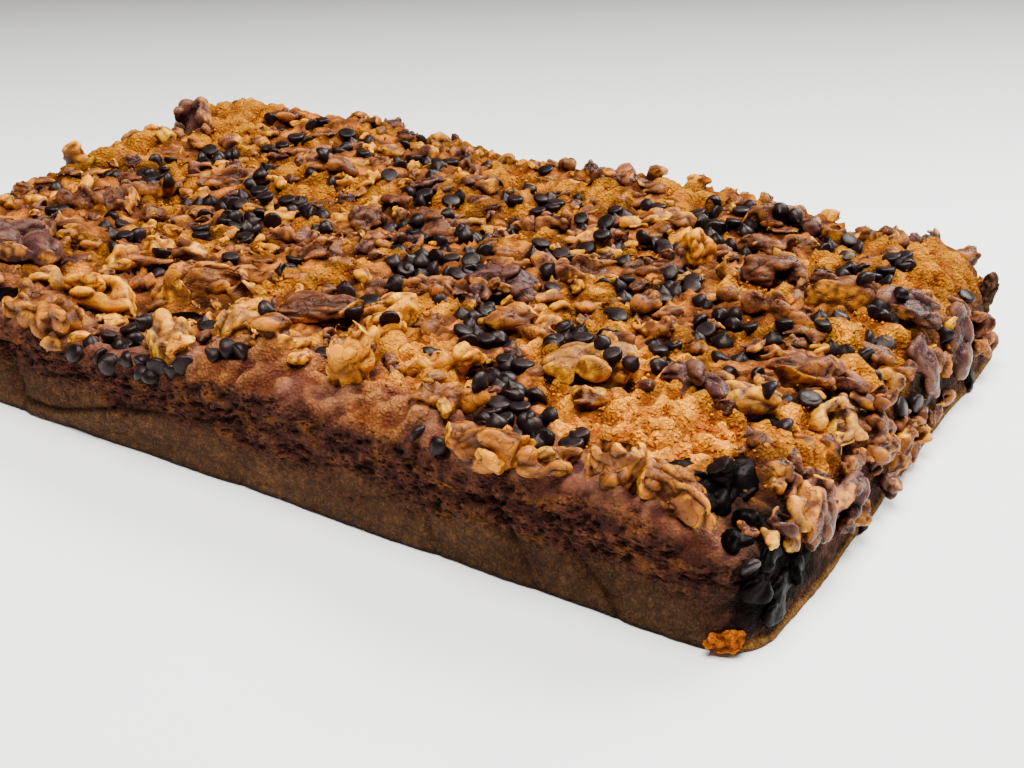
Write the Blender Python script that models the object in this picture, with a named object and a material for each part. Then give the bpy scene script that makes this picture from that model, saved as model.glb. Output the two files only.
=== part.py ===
"""A one-layer tray cake with walnut pieces and chocolate chips baked into its top.

The origin is at the middle of the base. +X runs along the long side, +Y across
the cake, +Z up. Lengths named in the tables are millimetres; MM turns them into
metres.
"""
import math
import random

import bmesh
import bpy
from mathutils import Matrix, Vector, noise
from mathutils.bvhtree import BVHTree

MM = 0.001

# The cake's driving sizes
LENGTH = 400
WIDTH = 240
HEIGHT = 39
PLAN_CORNER = 18
FRONT_EDGE = 9
BACK_EDGE = 10
END_EDGE = 20
EDGE_BLEND = 50
END_LEAN = 7

# The waves of the crust: length, rise and place in the noise, and how far from
# the edge they reach their full rise
CRUST_WAVES = ((38, 3.0, 1.7), (17, 2.2, 5.1))
EDGE_CALM = 14
EDGE_SHARE = 0.45

# The slow bulges of the sides: length along, length upward, depth
SIDE_WAVE = (30, 26, 1.1)

# The mesh of the sponge
CELL = 12
EDGE_STEPS = 3
SIDE_ROWS = (0.0, 0.05, 0.3, 0.62, 1.0)
FOOT_INSET = 0.8

# Gaps and depths
GAP = 0.3
CHIP_SINK = 0.22
WALNUT_SINK = 0.18
SMALLEST_SCALE = 0.4

# Swellings of the top: place along and across, radius, rise
SWELLS = (
    (145, -80, 34, 5),
    (180, 5, 24, 4),
    (186, 84, 30, 6),
    (-163, 98, 26, 3),
    (-178, 70, 11, -5),
    (-76, 40, 26, 4),
    (-172, 30, 26, 2),
    (18, -106, 22, 7),
    (72, -106, 20, 7),
    (-44, -112, 34, -8),
    (48, -82, 15, 4),
    (-8, -48, 22, 4),
    (132, 28, 18, 3),
    (-118, -46, 18, 3),
    (-150, -90, 36, 4),
    (80, 104, 34, 6),
    (-95, 104, 34, 4),
    (142, 112, 12, -5),
    (-20, 70, 26, 3),
    (-186, -20, 44, -3),
    (193, -110, 22, -8),
)

# Creases that the lining paper left down the front: place along at the top,
# place along at the foot, depth
CREASES = (
    (16, 17, 1.2),
    (80, 94, 1.5),
    (108, 130, 1.8),
    (122, 158, 2.2),
    (-97, -84, 3.5),
    (-140, -128, 2.0),
    (-172, -180, 2.0),
)
CREASE_WIDTH = 5.0
CREASE_FADE = 0.6
CREASE_FOOT = 8

# Walnut pieces on the top: place along and across, length, width, height,
# turn of the length from +X in degrees
WALNUTS = (
    (-74, -113, 36, 16, 17, -10),
    (-120, -87, 42, 26, 24, 35),
    (-43, -70, 34, 18, 17, 35),
    (-70, -91, 30, 17, 17, 20),
    (-22, -106, 34, 17, 17, -28),
    (-6, -88, 29, 16, 15, -75),
    (13, -70, 34, 20, 15, 35),
    (53, -104, 16, 14, 31, 20),
    (22, -102, 22, 13, 15, 20),
    (36, -60, 22, 11, 15, 62),
    (73, -85, 29, 12, 15, 48),
    (88, -103, 25, 13, 14, 30),
    (109, -114, 30, 16, 16, 8),
    (131, -114, 19, 12, 14, 20),
    (150, -110, 20, 18, 25, -60),
    (168, -110, 33, 18, 18, -20),
    (114, -62, 32, 23, 19, 28),
    (148, -53, 32, 19, 18, -48),
    (166, -54, 18, 13, 15, 30),
    (143, 13, 36, 12, 14, 2),
    (162, 35, 28, 15, 16, 28),
    (134, 42, 26, 16, 16, 20),
    (91, 30, 25, 15, 15, 30),
    (68, 12, 36, 13, 13, 12),
    (76, -40, 30, 20, 16, 25),
    (52, -14, 28, 19, 15, 30),
    (31, -34, 24, 12, 14, 32),
    (103, 45, 16, 13, 23, 60),
    (120, 66, 24, 13, 13, 20),
    (172, -22, 26, 16, 14, 24),
    (183, 42, 26, 18, 14, 40),
    (-163, 64, 18, 14, 24, 60),
    (-181, 8, 11, 10, 17, 0),
    (-128, -34, 33, 14, 15, 25),
    (-128, -9, 34, 11, 13, 38),
    (-101, 20, 33, 12, 13, 33),
    (-41, -17, 24, 12, 13, 25),
    (-27, 13, 19, 15, 15, 70),
    (3, 22, 22, 15, 14, 30),
    (-69, 44, 24, 13, 13, 30),
    (-77, -63, 28, 11, 14, 48),
    (-20, -27, 22, 15, 14, 60),
    (61, 40, 22, 15, 14, 30),
    (37, 41, 24, 12, 13, 14),
    (114, -14, 27, 14, 14, -40),
    (40, 102, 28, 12, 10, 6),
    (112, 92, 24, 14, 14, 20),
    (-137, 96, 19, 11, 11, 15),
)

# Walnut pieces on the sloping right end: place across, height above the base,
# length, width, height off the cake, turn
END_WALNUTS = (
    (-93, 36, 30, 17, 11, -20),
    (-75, 25, 22, 19, 12, 70),
    (-52, 17, 25, 14, 10, 20),
    (-38, 35, 20, 16, 12, 10),
    (-18, 25, 22, 14, 12, 60),
    (-2, 12, 20, 12, 9, 60),
    (27, 28, 24, 17, 12, 75),
    (62, 24, 28, 17, 12, 65),
)

# Patches of bare sponge: place along and across, radius
BARE_PATCHES = (
    (144, -82, 24),
    (182, 8, 14),
    (186, 84, 24),
    (-163, 96, 20),
    (-76, 40, 16),
    (-172, 30, 16),
    (18, -106, 15),
    (72, -106, 14),
    (-8, -48, 14),
    (132, 28, 11),
)

# Drifts of chocolate chips: place along and across, radius, number
CHIP_DRIFTS = (
    (-40, -111, 24, 12),
    (18, 0, 20, 10),
    (90, -85, 20, 11),
    (93, -26, 15, 7),
    (122, 3, 13, 5),
    (92, 84, 14, 6),
    (155, 70, 15, 6),
    (175, 12, 10, 3),
    (172, -66, 8, 2),
    (-82, 0, 17, 7),
    (-107, -52, 10, 3),
    (-142, 6, 14, 5),
    (-54, 92, 20, 8),
    (-122, 80, 16, 6),
    (24, 68, 16, 5),
    (20, -48, 9, 2),
    (126, -36, 12, 4),
    (80, 58, 9, 2),
    (-165, -60, 26, 6),
    (186, -104, 10, 3),
)

# Chocolate that melted and set again at the near right corner, and the torn
# crisp edges at the two right corners: centre, half sizes, turn
MELTED = (
    ((171, -91, 42), (11, 6, 5), 20),
    ((187, -110, 25), (9, 6, 12), 45),
    ((190, -110.5, 12), (9, 6, 8), 45),
)
FLAKES = (
    ((191, -118.5, 5), (7, 4, 4), 32),
    ((195, 109, 24), (3, 7, 11), -35),
)

CHIP_WIDTH = 7.4
CHIP_HEIGHT = 5.6
CHIP_SIDES = 5
CHIP_PROFILE = ((0.50, -0.3), (0.42, 0.35), (0.12, 0.85))
CHIP_SPACING = 7.8
CHIP_LEAN = 1.2
BIT_COUNT = 20
BIT_SIZE = 9.5
BIT_FLATNESS = 0.8
BIT_LIFT = 0.1
BIT_SPACING = 11
TRIES_PER_CHIP = 3
TRIES_PER_BIT = 8

# The lumps of a walnut piece: depth of the lobes, lobes along it, and the depth
# and width of its furrow as shares of the piece
LOBE_DEPTH = 0.30
LOBES = 1.9
FURROW_DEPTH = 0.22
FURROW_WIDTH = 0.25
BLOB_UNEVENNESS = 0.25

SPONGE_COLOUR = (0.38, 0.15, 0.035, 1.0)
WALNUT_COLOUR = (0.50, 0.27, 0.10, 1.0)


def smoothstep(edge_low, edge_high, value):
    t = min(1.0, max(0.0, (value - edge_low) / (edge_high - edge_low)))
    return t * t * (3.0 - 2.0 * t)


def mix(low, high, share):
    return low + (high - low) * share


def edge_radius(x, y):
    """The radius of the top edge: tight along the front, wide at both ends."""
    behind_front = smoothstep(0, EDGE_BLEND, y + WIDTH / 2)
    near_end = smoothstep(LENGTH / 2 - EDGE_BLEND, LENGTH / 2, abs(x))
    return mix(mix(FRONT_EDGE, BACK_EDGE, behind_front), END_EDGE, near_end * behind_front)


def grid_lines(half, low_radius, high_radius):
    """Places from -half to half, close together where the top edge curves."""
    arc = [1 - math.cos(0.5 * math.pi * k / EDGE_STEPS) for k in range(EDGE_STEPS)]
    start = -half + low_radius
    stop = half - high_radius
    count = round((stop - start) / CELL)
    lines = [-half + low_radius * t for t in arc]
    lines += [start + (stop - start) * k / count for k in range(count + 1)]
    lines += [half - high_radius * t for t in reversed(arc)]
    return lines


def round_plan(x, y):
    """Move a point of the rectangle so that the corners in plan are round."""
    inset = min(LENGTH / 2 - abs(x), WIDTH / 2 - abs(y))
    radius = max(PLAN_CORNER * (1 - 2 * inset / WIDTH), 0.01)
    inner_x = max(LENGTH / 2 - inset - radius, 0)
    inner_y = max(WIDTH / 2 - inset - radius, 0)
    near_x = min(inner_x, max(-inner_x, x))
    near_y = min(inner_y, max(-inner_y, y))
    off = Vector((x - near_x, y - near_y))
    if off.length < 1e-9:
        return x, y
    off = off.normalized() * radius
    return near_x + off.x, near_y + off.y


def edge_drop(x, y):
    """How far the rounded edge lies under the flat top."""
    radius = edge_radius(x, y)
    inset = min(LENGTH / 2 - abs(x), WIDTH / 2 - abs(y))
    out = 1 - min(1.0, max(0.0, inset / radius))
    return radius * (1 - math.sqrt(1 - out * out))


def top_height(x, y):
    """Height of the crust above the base at a place in plan."""
    rise = 0.0
    for place_x, place_y, radius, height in SWELLS:
        far = math.hypot(x - place_x, y - place_y) / radius
        rise += height * math.exp(-far * far)
    for length, height, place in CRUST_WAVES:
        rise += height * noise.noise(Vector((x / length, y / length, place)))
    inset = min(LENGTH / 2 - abs(x), WIDTH / 2 - abs(y))
    return HEIGHT + rise * mix(EDGE_SHARE, 1, smoothstep(0, EDGE_CALM, inset))


def side_relief(x, y, level):
    """How far a side point stands out: slow bulges, paper creases and a thin foot."""
    along, upward, depth = SIDE_WAVE
    out = depth * noise.noise(Vector((x / along, y / along, level / upward + 9.2)))
    if y < 0 and abs(x) < LENGTH / 2 - PLAN_CORNER / 2:
        for top_x, foot_x, depth in CREASES:
            crease_x = foot_x + (top_x - foot_x) * level / HEIGHT
            far = (x - crease_x) / CREASE_WIDTH
            fade = smoothstep(0, CREASE_FOOT, level) * (1 - CREASE_FADE * level / HEIGHT)
            out -= depth * math.exp(-far * far) * fade
    return out


def side_normal(x, y):
    """The level direction that points out of the side at an outline point."""
    inner_x = LENGTH / 2 - PLAN_CORNER
    inner_y = WIDTH / 2 - PLAN_CORNER
    near = Vector((min(inner_x, max(-inner_x, x)), min(inner_y, max(-inner_y, y)), 0))
    return (Vector((x, y, 0)) - near).normalized()


def lean_ends(place):
    """Lean the end walls inward as they rise."""
    share = smoothstep(LENGTH / 2 - EDGE_BLEND, LENGTH / 2, abs(place.x))
    place.x -= math.copysign(END_LEAN * share * place.z / HEIGHT, place.x)
    return place


def sponge_mesh():
    """The sponge: a gridded top, rows down the sides and a flat base."""
    mesh = bmesh.new()
    xs = grid_lines(LENGTH / 2, END_EDGE, END_EDGE)
    ys = grid_lines(WIDTH / 2, FRONT_EDGE, BACK_EDGE)
    top = []
    for x in xs:
        column = []
        for y in ys:
            plan_x, plan_y = round_plan(x, y)
            level = top_height(plan_x, plan_y) - edge_drop(x, y)
            column.append(mesh.verts.new(Vector((plan_x, plan_y, level))))
        top.append(column)
    for i in range(len(xs) - 1):
        for j in range(len(ys) - 1):
            mesh.faces.new((top[i][j], top[i + 1][j], top[i + 1][j + 1], top[i][j + 1]))
    last_i = len(xs) - 1
    last_j = len(ys) - 1
    rim = [top[i][0] for i in range(last_i)]
    rim += [top[last_i][j] for j in range(last_j)]
    rim += [top[i][last_j] for i in range(last_i, 0, -1)]
    rim += [top[0][j] for j in range(last_j, 0, -1)]
    upper = rim
    for share in reversed(SIDE_ROWS[:-1]):
        lower = []
        for corner in rim:
            x, y, edge = corner.co
            level = edge * share
            out = side_relief(x, y, level) - (FOOT_INSET if share == 0 else 0)
            place = Vector((x, y, level)) + side_normal(x, y) * out
            lower.append(mesh.verts.new(place))
        for k in range(len(rim)):
            after = (k + 1) % len(rim)
            mesh.faces.new((lower[k], lower[after], upper[after], upper[k]))
        upper = lower
    mesh.faces.new(list(reversed(upper)))
    for vert in mesh.verts:
        vert.co = lean_ends(vert.co) * MM
    bmesh.ops.triangulate(mesh, faces=mesh.faces[:])
    bmesh.ops.recalc_face_normals(mesh, faces=mesh.faces[:])
    return mesh


def sponge_object(name, swelling=0.0):
    """The sponge as an object, grown outward by the swelling."""
    mesh = sponge_mesh()
    mesh.normal_update()
    if swelling:
        moves = [vert.normal * swelling * MM for vert in mesh.verts]
        for vert, move in zip(mesh.verts, moves):
            vert.co += move
    return add_object(name, mesh)


def add_object(name, mesh):
    data = bpy.data.meshes.new(name)
    mesh.to_mesh(data)
    mesh.free()
    made = bpy.data.objects.new(name, data)
    bpy.context.scene.collection.objects.link(made)
    return made


def surface_frame(tree, start, direction, turn):
    """A frame on the sponge where a ray meets it, with Z half way to its normal."""
    point, normal, _, _ = tree.ray_cast(start * MM, direction)
    up = (normal - direction).normalized()
    along = Matrix.Rotation(math.radians(turn), 3, up) @ side_axis(direction)
    along = (along - up * along.dot(up)).normalized()
    across = up.cross(along)
    frame = Matrix((along, across, up)).transposed().to_4x4()
    frame.translation = point
    return frame


def side_axis(direction):
    """The axis that a turn is measured from: +X on the top, +Y on the end."""
    return Vector((1, 0, 0)) if abs(direction.z) > 0.5 else Vector((0, 1, 0))


def walnut_lump(size, seed):
    """A lobed piece of kernel: an ellipsoid with a furrow and uneven lobes."""
    mesh = bmesh.new()
    bmesh.ops.create_icosphere(mesh, subdivisions=2, radius=0.5)
    for vert in mesh.verts:
        way = vert.co.normalized()
        lobes = 1 + LOBE_DEPTH * noise.noise(way * LOBES + Vector((seed * 3.7, 0.4, 1.3)))
        furrow = 1 - FURROW_DEPTH * math.exp(-((way.y / FURROW_WIDTH) ** 2)) * max(0.0, way.z)
        reach = vert.co * lobes * furrow
        vert.co = Vector((reach.x * size[0], reach.y * size[1], reach.z * size[2])) * MM
    return mesh


def holds(tree, point):
    """Whether a point lies inside the closed mesh of a tree: a ray up leaves it
    an odd number of times."""
    up = Vector((0, 0, 1))
    crossings = 0
    hit = tree.ray_cast(point, up)[0]
    while hit:
        crossings += 1
        hit = tree.ray_cast(hit + up * 0.01 * GAP * MM, up)[0]
    return crossings % 2 == 1


def overlaps(mesh, trees):
    tree = BVHTree.FromBMesh(mesh)
    point = next(iter(mesh.verts)).co
    return any(tree.overlap(other) or holds(other, point) for other in trees)


def grown(mesh, growth):
    """A copy of a mesh moved outward by the growth."""
    copy = mesh.copy()
    copy.normal_update()
    moves = [vert.normal * growth * MM for vert in copy.verts]
    for vert, move in zip(copy.verts, moves):
        vert.co += move
    return copy


def walnut_frames(tree):
    """The frame and size of every walnut piece, top first and then the end."""
    frames = []
    for x, y, length, width, height, turn in WALNUTS:
        start = Vector((x, y, 3 * HEIGHT))
        frames.append((surface_frame(tree, start, Vector((0, 0, -1)), turn), (length, width, height)))
    for y, level, length, width, height, turn in END_WALNUTS:
        start = Vector((LENGTH, y, level))
        frames.append((surface_frame(tree, start, Vector((-1, 0, 0)), turn), (length, width, height)))
    return frames


def keep_largest_body(mesh):
    """Drop the loose scraps of a mesh."""
    left = set(mesh.verts)
    bodies = []
    while left:
        body = [left.pop()]
        for vert in body:
            for edge in vert.link_edges:
                other = edge.other_vert(vert)
                if other in left:
                    left.remove(other)
                    body.append(other)
        bodies.append(body)
    bodies.sort(key=len)
    for body in bodies[:-1]:
        bmesh.ops.delete(mesh, geom=body, context='VERTS')


def bake_boolean(target, operation, **operand):
    """Apply one Boolean to an object and keep its largest body."""
    cut = target.modifiers.new("cut", 'BOOLEAN')
    cut.operation = operation
    cut.solver = 'EXACT'
    for key, value in operand.items():
        setattr(cut, key, value)
    depsgraph = bpy.context.evaluated_depsgraph_get()
    result = bpy.data.meshes.new_from_object(target.evaluated_get(depsgraph))
    target.modifiers.remove(cut)
    mesh = bmesh.new()
    mesh.from_mesh(result)
    bmesh.ops.triangulate(mesh, faces=mesh.faces[:])
    keep_largest_body(mesh)
    mesh.to_mesh(target.data)
    mesh.free()
    bpy.data.meshes.remove(result)


def make_walnuts(sponge_tree):
    """Every walnut piece, shrunk until it is clear of those before it, and cut
    to sit a gap above the sponge."""
    raised = sponge_object("raised_sponge", GAP)
    walnuts = []
    trees = []
    for number, (frame, size) in enumerate(walnut_frames(sponge_tree), 1):
        scale = 1.0
        while scale > SMALLEST_SCALE:
            mesh = walnut_lump([edge * scale for edge in size], number)
            bmesh.ops.translate(mesh, verts=mesh.verts[:], vec=Vector((0, 0, WALNUT_SINK * size[2] * MM)))
            mesh.transform(frame)
            if not overlaps(mesh, trees):
                break
            mesh.free()
            scale -= 0.05
        around = grown(mesh, GAP)
        trees.append(BVHTree.FromBMesh(around))
        around.free()
        walnut = add_object(f"walnut_{number:02d}", mesh)
        bake_boolean(walnut, 'DIFFERENCE', object=raised)
        walnuts.append(walnut)
    bpy.data.objects.remove(raised)
    return walnuts, trees


def chip_mesh(scale):
    """A drop-shaped chip: a round foot that draws in to a small tip."""
    mesh = bmesh.new()
    rows = []
    for reach, level in CHIP_PROFILE:
        row = []
        for k in range(CHIP_SIDES):
            angle = 2 * math.pi * k / CHIP_SIDES
            spot = (CHIP_WIDTH * reach * math.cos(angle), CHIP_WIDTH * reach * math.sin(angle),
                    CHIP_HEIGHT * level)
            row.append(mesh.verts.new(Vector(spot) * scale * MM))
        rows.append(row)
    for low, high in zip(rows, rows[1:]):
        for k in range(CHIP_SIDES):
            after = (k + 1) % CHIP_SIDES
            mesh.faces.new((low[k], low[after], high[after], high[k]))
    mesh.faces.new(list(reversed(rows[0])))
    mesh.faces.new(rows[-1])
    return mesh


def bit_mesh(scale):
    """A crumb of walnut, as one uneven lump."""
    mesh = bmesh.new()
    bmesh.ops.create_icosphere(mesh, subdivisions=1, radius=0.5 * BIT_SIZE * scale * MM)
    for vert in mesh.verts:
        vert.co.z *= BIT_FLATNESS
        vert.co *= 1 + BLOB_UNEVENNESS * noise.noise(vert.co / MM + Vector((scale * 40, 0, 0)))
    return mesh


def blob_mesh(centre, halves, turn):
    """An uneven blob round a centre."""
    mesh = bmesh.new()
    bmesh.ops.create_icosphere(mesh, subdivisions=2, radius=1.0)
    for vert in mesh.verts:
        uneven = 1 + BLOB_UNEVENNESS * noise.noise(vert.co * 1.6 + Vector(centre) * 0.1)
        vert.co = Vector([part * half * uneven for part, half in zip(vert.co, halves)]) * MM
    mesh.transform(Matrix.Translation(Vector(centre) * MM) @ Matrix.Rotation(math.radians(turn), 4, 'Z'))
    return mesh


def lie_down(mesh, frame, lean, spin, sink):
    """Lean a small piece over, turn it and press it into the sponge."""
    mesh.transform(Matrix.Rotation(lean, 4, 'X'))
    mesh.transform(Matrix.Rotation(spin, 4, 'Z'))
    bmesh.ops.translate(mesh, verts=mesh.verts[:], vec=Vector((0, 0, -sink * MM)))
    mesh.transform(frame)


def inside_outline(x, y, margin):
    return abs(x) < LENGTH / 2 - margin and abs(y) < WIDTH / 2 - margin


def chip_places():
    """Seeded places in every drift, each with a scale, a lean and a spin."""
    draw = random.Random(11)
    places = []
    for drift_x, drift_y, radius, number in CHIP_DRIFTS:
        for _ in range(number * TRIES_PER_CHIP):
            angle = draw.uniform(0, 2 * math.pi)
            far = radius * math.sqrt(draw.random())
            x = drift_x + far * math.cos(angle)
            y = drift_y + far * math.sin(angle)
            lean = draw.uniform(-CHIP_LEAN, CHIP_LEAN)
            shape = (draw.uniform(0.85, 1.15), lean, draw.uniform(0, 2 * math.pi))
            places.append((x, y, shape, number, (drift_x, drift_y)))
    return places


def bit_places():
    """Seeded places all over the top, outside the bare patches."""
    draw = random.Random(23)
    places = []
    for _ in range(BIT_COUNT * TRIES_PER_BIT):
        x = draw.uniform(-LENGTH / 2, LENGTH / 2)
        y = draw.uniform(-WIDTH / 2, WIDTH / 2)
        shape = (draw.uniform(0.8, 1.2), draw.uniform(-0.5, 0.5), draw.uniform(0, 2 * math.pi))
        if all(math.hypot(x - px, y - py) > radius for px, py, radius in BARE_PATCHES):
            places.append((x, y, shape))
    return places


def fused_toppings(sponge_tree, walnut_trees):
    """Chips, walnut crumbs, melted chocolate and flakes, in one collection."""
    toppings = bpy.data.collections.new("toppings")
    bpy.context.scene.collection.children.link(toppings)
    taken = []

    def add(mesh, name):
        around = grown(mesh, GAP)
        clear = not overlaps(around, walnut_trees)
        around.free()
        if clear:
            made = add_object(name, mesh)
            bpy.context.scene.collection.objects.unlink(made)
            toppings.objects.link(made)
        else:
            mesh.free()
        return clear

    def free_place(x, y, spacing):
        return all(math.hypot(x - a, y - b) > (spacing + s) / 2 for a, b, s in taken)

    for centre, halves, turn in MELTED + FLAKES:
        add(blob_mesh(centre, halves, turn), "blob")
        taken.append((centre[0], centre[1], 2 * halves[0] + CHIP_SPACING / 2))
    laid = {}
    for x, y, (scale, lean, spin), number, drift in chip_places():
        if laid.get(drift, 0) >= number or not inside_outline(x, y, 5) or not free_place(x, y, CHIP_SPACING):
            continue
        mesh = chip_mesh(scale)
        frame = surface_frame(sponge_tree, Vector((x, y, 3 * HEIGHT)), Vector((0, 0, -1)), 0)
        lie_down(mesh, frame, lean, spin, CHIP_SINK * CHIP_HEIGHT)
        if add(mesh, "chip"):
            laid[drift] = laid.get(drift, 0) + 1
            taken.append((x, y, CHIP_SPACING))
    bits = 0
    for x, y, (scale, lean, spin) in bit_places():
        if bits >= BIT_COUNT or not inside_outline(x, y, 8) or not free_place(x, y, BIT_SPACING):
            continue
        mesh = bit_mesh(scale)
        frame = surface_frame(sponge_tree, Vector((x, y, 3 * HEIGHT)), Vector((0, 0, -1)), 0)
        lie_down(mesh, frame, lean, spin, -BIT_LIFT * BIT_SIZE)
        if add(mesh, "bit"):
            bits += 1
            taken.append((x, y, BIT_SPACING))
    return toppings


def finish(made, name, colour, roughness):
    """Give an object its own material."""
    material = bpy.data.materials.new(name)
    material.use_nodes = True
    shader = material.node_tree.nodes["Principled BSDF"]
    shader.inputs["Base Color"].default_value = colour
    shader.inputs["Roughness"].default_value = roughness
    shader.inputs["Metallic"].default_value = 0.0
    made.data.materials.clear()
    made.data.materials.append(material)
    made.data.shade_smooth()
    made.data.set_sharp_from_angle(angle=math.radians(40))


def main():
    for old in list(bpy.data.objects):
        bpy.data.objects.remove(old)
    cake = sponge_object("cake")
    base = bmesh.new()
    base.from_mesh(cake.data)
    sponge_tree = BVHTree.FromBMesh(base)
    base.free()
    walnuts, walnut_trees = make_walnuts(sponge_tree)
    toppings = fused_toppings(sponge_tree, walnut_trees)
    bake_boolean(cake, 'UNION', operand_type='COLLECTION', collection=toppings)
    for made in list(toppings.objects):
        bpy.data.objects.remove(made)
    bpy.data.collections.remove(toppings)
    finish(cake, "baked_sponge", SPONGE_COLOUR, 0.8)
    for walnut in walnuts:
        finish(walnut, walnut.name + "_kernel", WALNUT_COLOUR, 0.5)


main()
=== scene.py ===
"""The looks of a one-layer tray cake with walnut pieces and chocolate chips.

Lengths in the tables are millimetres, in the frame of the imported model: the
origin is at the middle of the base, +X runs along the long side, +Y across the
cake, +Z up. Colours are given as they look on a screen, from 0 to 255.
"""
import functools
import itertools
import math
import random

import bmesh
import bpy
import numpy as np
from mathutils import Matrix, Vector, noise
from mathutils.bvhtree import BVHTree


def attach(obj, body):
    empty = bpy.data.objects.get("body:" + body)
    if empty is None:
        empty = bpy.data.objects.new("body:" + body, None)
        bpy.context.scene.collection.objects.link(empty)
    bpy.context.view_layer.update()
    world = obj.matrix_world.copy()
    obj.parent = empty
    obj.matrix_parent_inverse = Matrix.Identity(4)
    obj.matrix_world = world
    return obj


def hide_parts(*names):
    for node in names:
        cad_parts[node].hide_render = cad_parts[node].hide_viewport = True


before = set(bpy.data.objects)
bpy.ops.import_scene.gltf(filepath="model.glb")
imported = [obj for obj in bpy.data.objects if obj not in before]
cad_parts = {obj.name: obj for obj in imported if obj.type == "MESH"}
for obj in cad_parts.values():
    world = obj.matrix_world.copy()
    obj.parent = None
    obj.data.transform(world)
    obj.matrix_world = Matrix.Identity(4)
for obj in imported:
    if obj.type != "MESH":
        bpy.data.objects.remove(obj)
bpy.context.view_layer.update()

MM = 0.001

DOWN = Vector((0, 0, -1))
INWARD = Vector((-1, 0, 0))

# How bright a white surface on the cake's top would be, and the palest that any
# surface may be
TOP_LIGHT = 2.0
PALEST = 0.95

# How much more red and green a tone needs to look right: always, for each step of
# brightness over a level, and that level. How much blue it needs, how fast that
# falls as the tone brightens, and the least that is left.
RED_NEED = (1.05, 2.0, 0.38)
GREEN_NEED = (1.12, 0.8, 0.5)
BLUE_NEED = (1.6, 1.75, 0.1)

# The cake's driving sizes
LENGTH = 400
WIDTH = 240
HALF_LENGTH = LENGTH / 2
HALF_WIDTH = WIDTH / 2
HEIGHT = 39
PLAN_CORNER = 18
FRONT_EDGE = 9
BACK_EDGE = 10
END_EDGE = 20
EDGE_BLEND = 50
END_LEAN = 7
FOOT_INSET = 0.8

# The waves of the crust: length, rise and place in the noise, and how far from
# the edge they reach their full rise
CRUST_WAVES = ((38, 3.0, 1.7), (17, 2.2, 5.1))
EDGE_CALM = 14
EDGE_SHARE = 0.45

# The slow bulges of the sides: length along, length upward, depth
SIDE_WAVE = (30, 26, 1.1)

# The fine mesh of the sponge: cell sizes at the far left and near right, and
# the rows of the rounded edge and of the sides
CELL_LEFT = 2.0
CELL_RIGHT = 0.9
CELL_FRONT = 0.95
CELL_BACK = 1.9
EDGE_STEPS = 9
SIDE_ROWS = 34

# How far a chip and a smaller walnut piece sink into the sponge, and how far above
# it the middle of a large piece stands, as shares of their heights
CHIP_SINK = 0.3
WALNUT_SINK = 0.18
KERNEL_LIFT = 0.18

# What a piece's oval in plan measures from its middle, as a share of its size
OVAL_SHARE = 0.45
BIT_OVAL = (0.45, 0.35)

# A surface whose normal rises more than this lies on the top, not on a side
LEVEL_RISE = 0.5

# How far from the near corner pieces count as fully far, how fine the meshes of the
# large and the smaller pieces are, near and far, and the share of near ones
FAR_REACH = 430
KERNEL_VOXELS = (0.58, 1.0)
NUT_VOXELS = (0.7, 1.2)
NEAR_NUTS = 0.45

# How wide the main ridges of the large and the smaller pieces are: always, and for
# each millimetre of length
KERNEL_LOBES = (5.5, 0.09)
NUT_LOBES = (6.0, 0.1)

# How fine the meshes of other pieces are, and how wide their ridges
KNOB_FORM = (0.6, 3.0)
MELT_FORM = (0.7, 1.4)
BIT_FORM = (1.1, 8.0)

# Swellings of the top: place along and across, radius, rise
SWELLS = (
    (145, -80, 34, 5),
    (180, 5, 24, 4),
    (186, 84, 30, 6),
    (-163, 98, 26, 3),
    (-178, 70, 11, -5),
    (-76, 40, 26, 4),
    (-172, 30, 26, 2),
    (18, -106, 22, 7),
    (72, -106, 20, 7),
    (-44, -112, 34, -8),
    (48, -82, 15, 4),
    (-8, -48, 22, 4),
    (132, 28, 18, 3),
    (-118, -46, 18, 3),
    (-150, -90, 36, 4),
    (80, 104, 34, 6),
    (-95, 104, 34, 4),
    (142, 112, 12, -5),
    (-20, 70, 26, 3),
    (-186, -20, 44, -3),
    (193, -110, 22, -8),
)

# Creases that the lining paper left down the front: place along at the top,
# place along at the foot, depth
CREASES = (
    (16, 17, 1.2),
    (80, 94, 1.5),
    (108, 130, 1.8),
    (122, 158, 2.2),
    (-97, -84, 3.5),
    (-140, -128, 2.0),
    (-172, -180, 2.0),
)
CREASE_WIDTH = 5.0
CREASE_FADE = 0.6
CREASE_FOOT = 8

# The fold that the paper left above the foot at the left: places along and
# above the base from end to end, and its depth
LEDGE = ((-84, 5), (-66, 6), (-36, 15), (-17, 18))
LEDGE_DEPTH = 1.4

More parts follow.
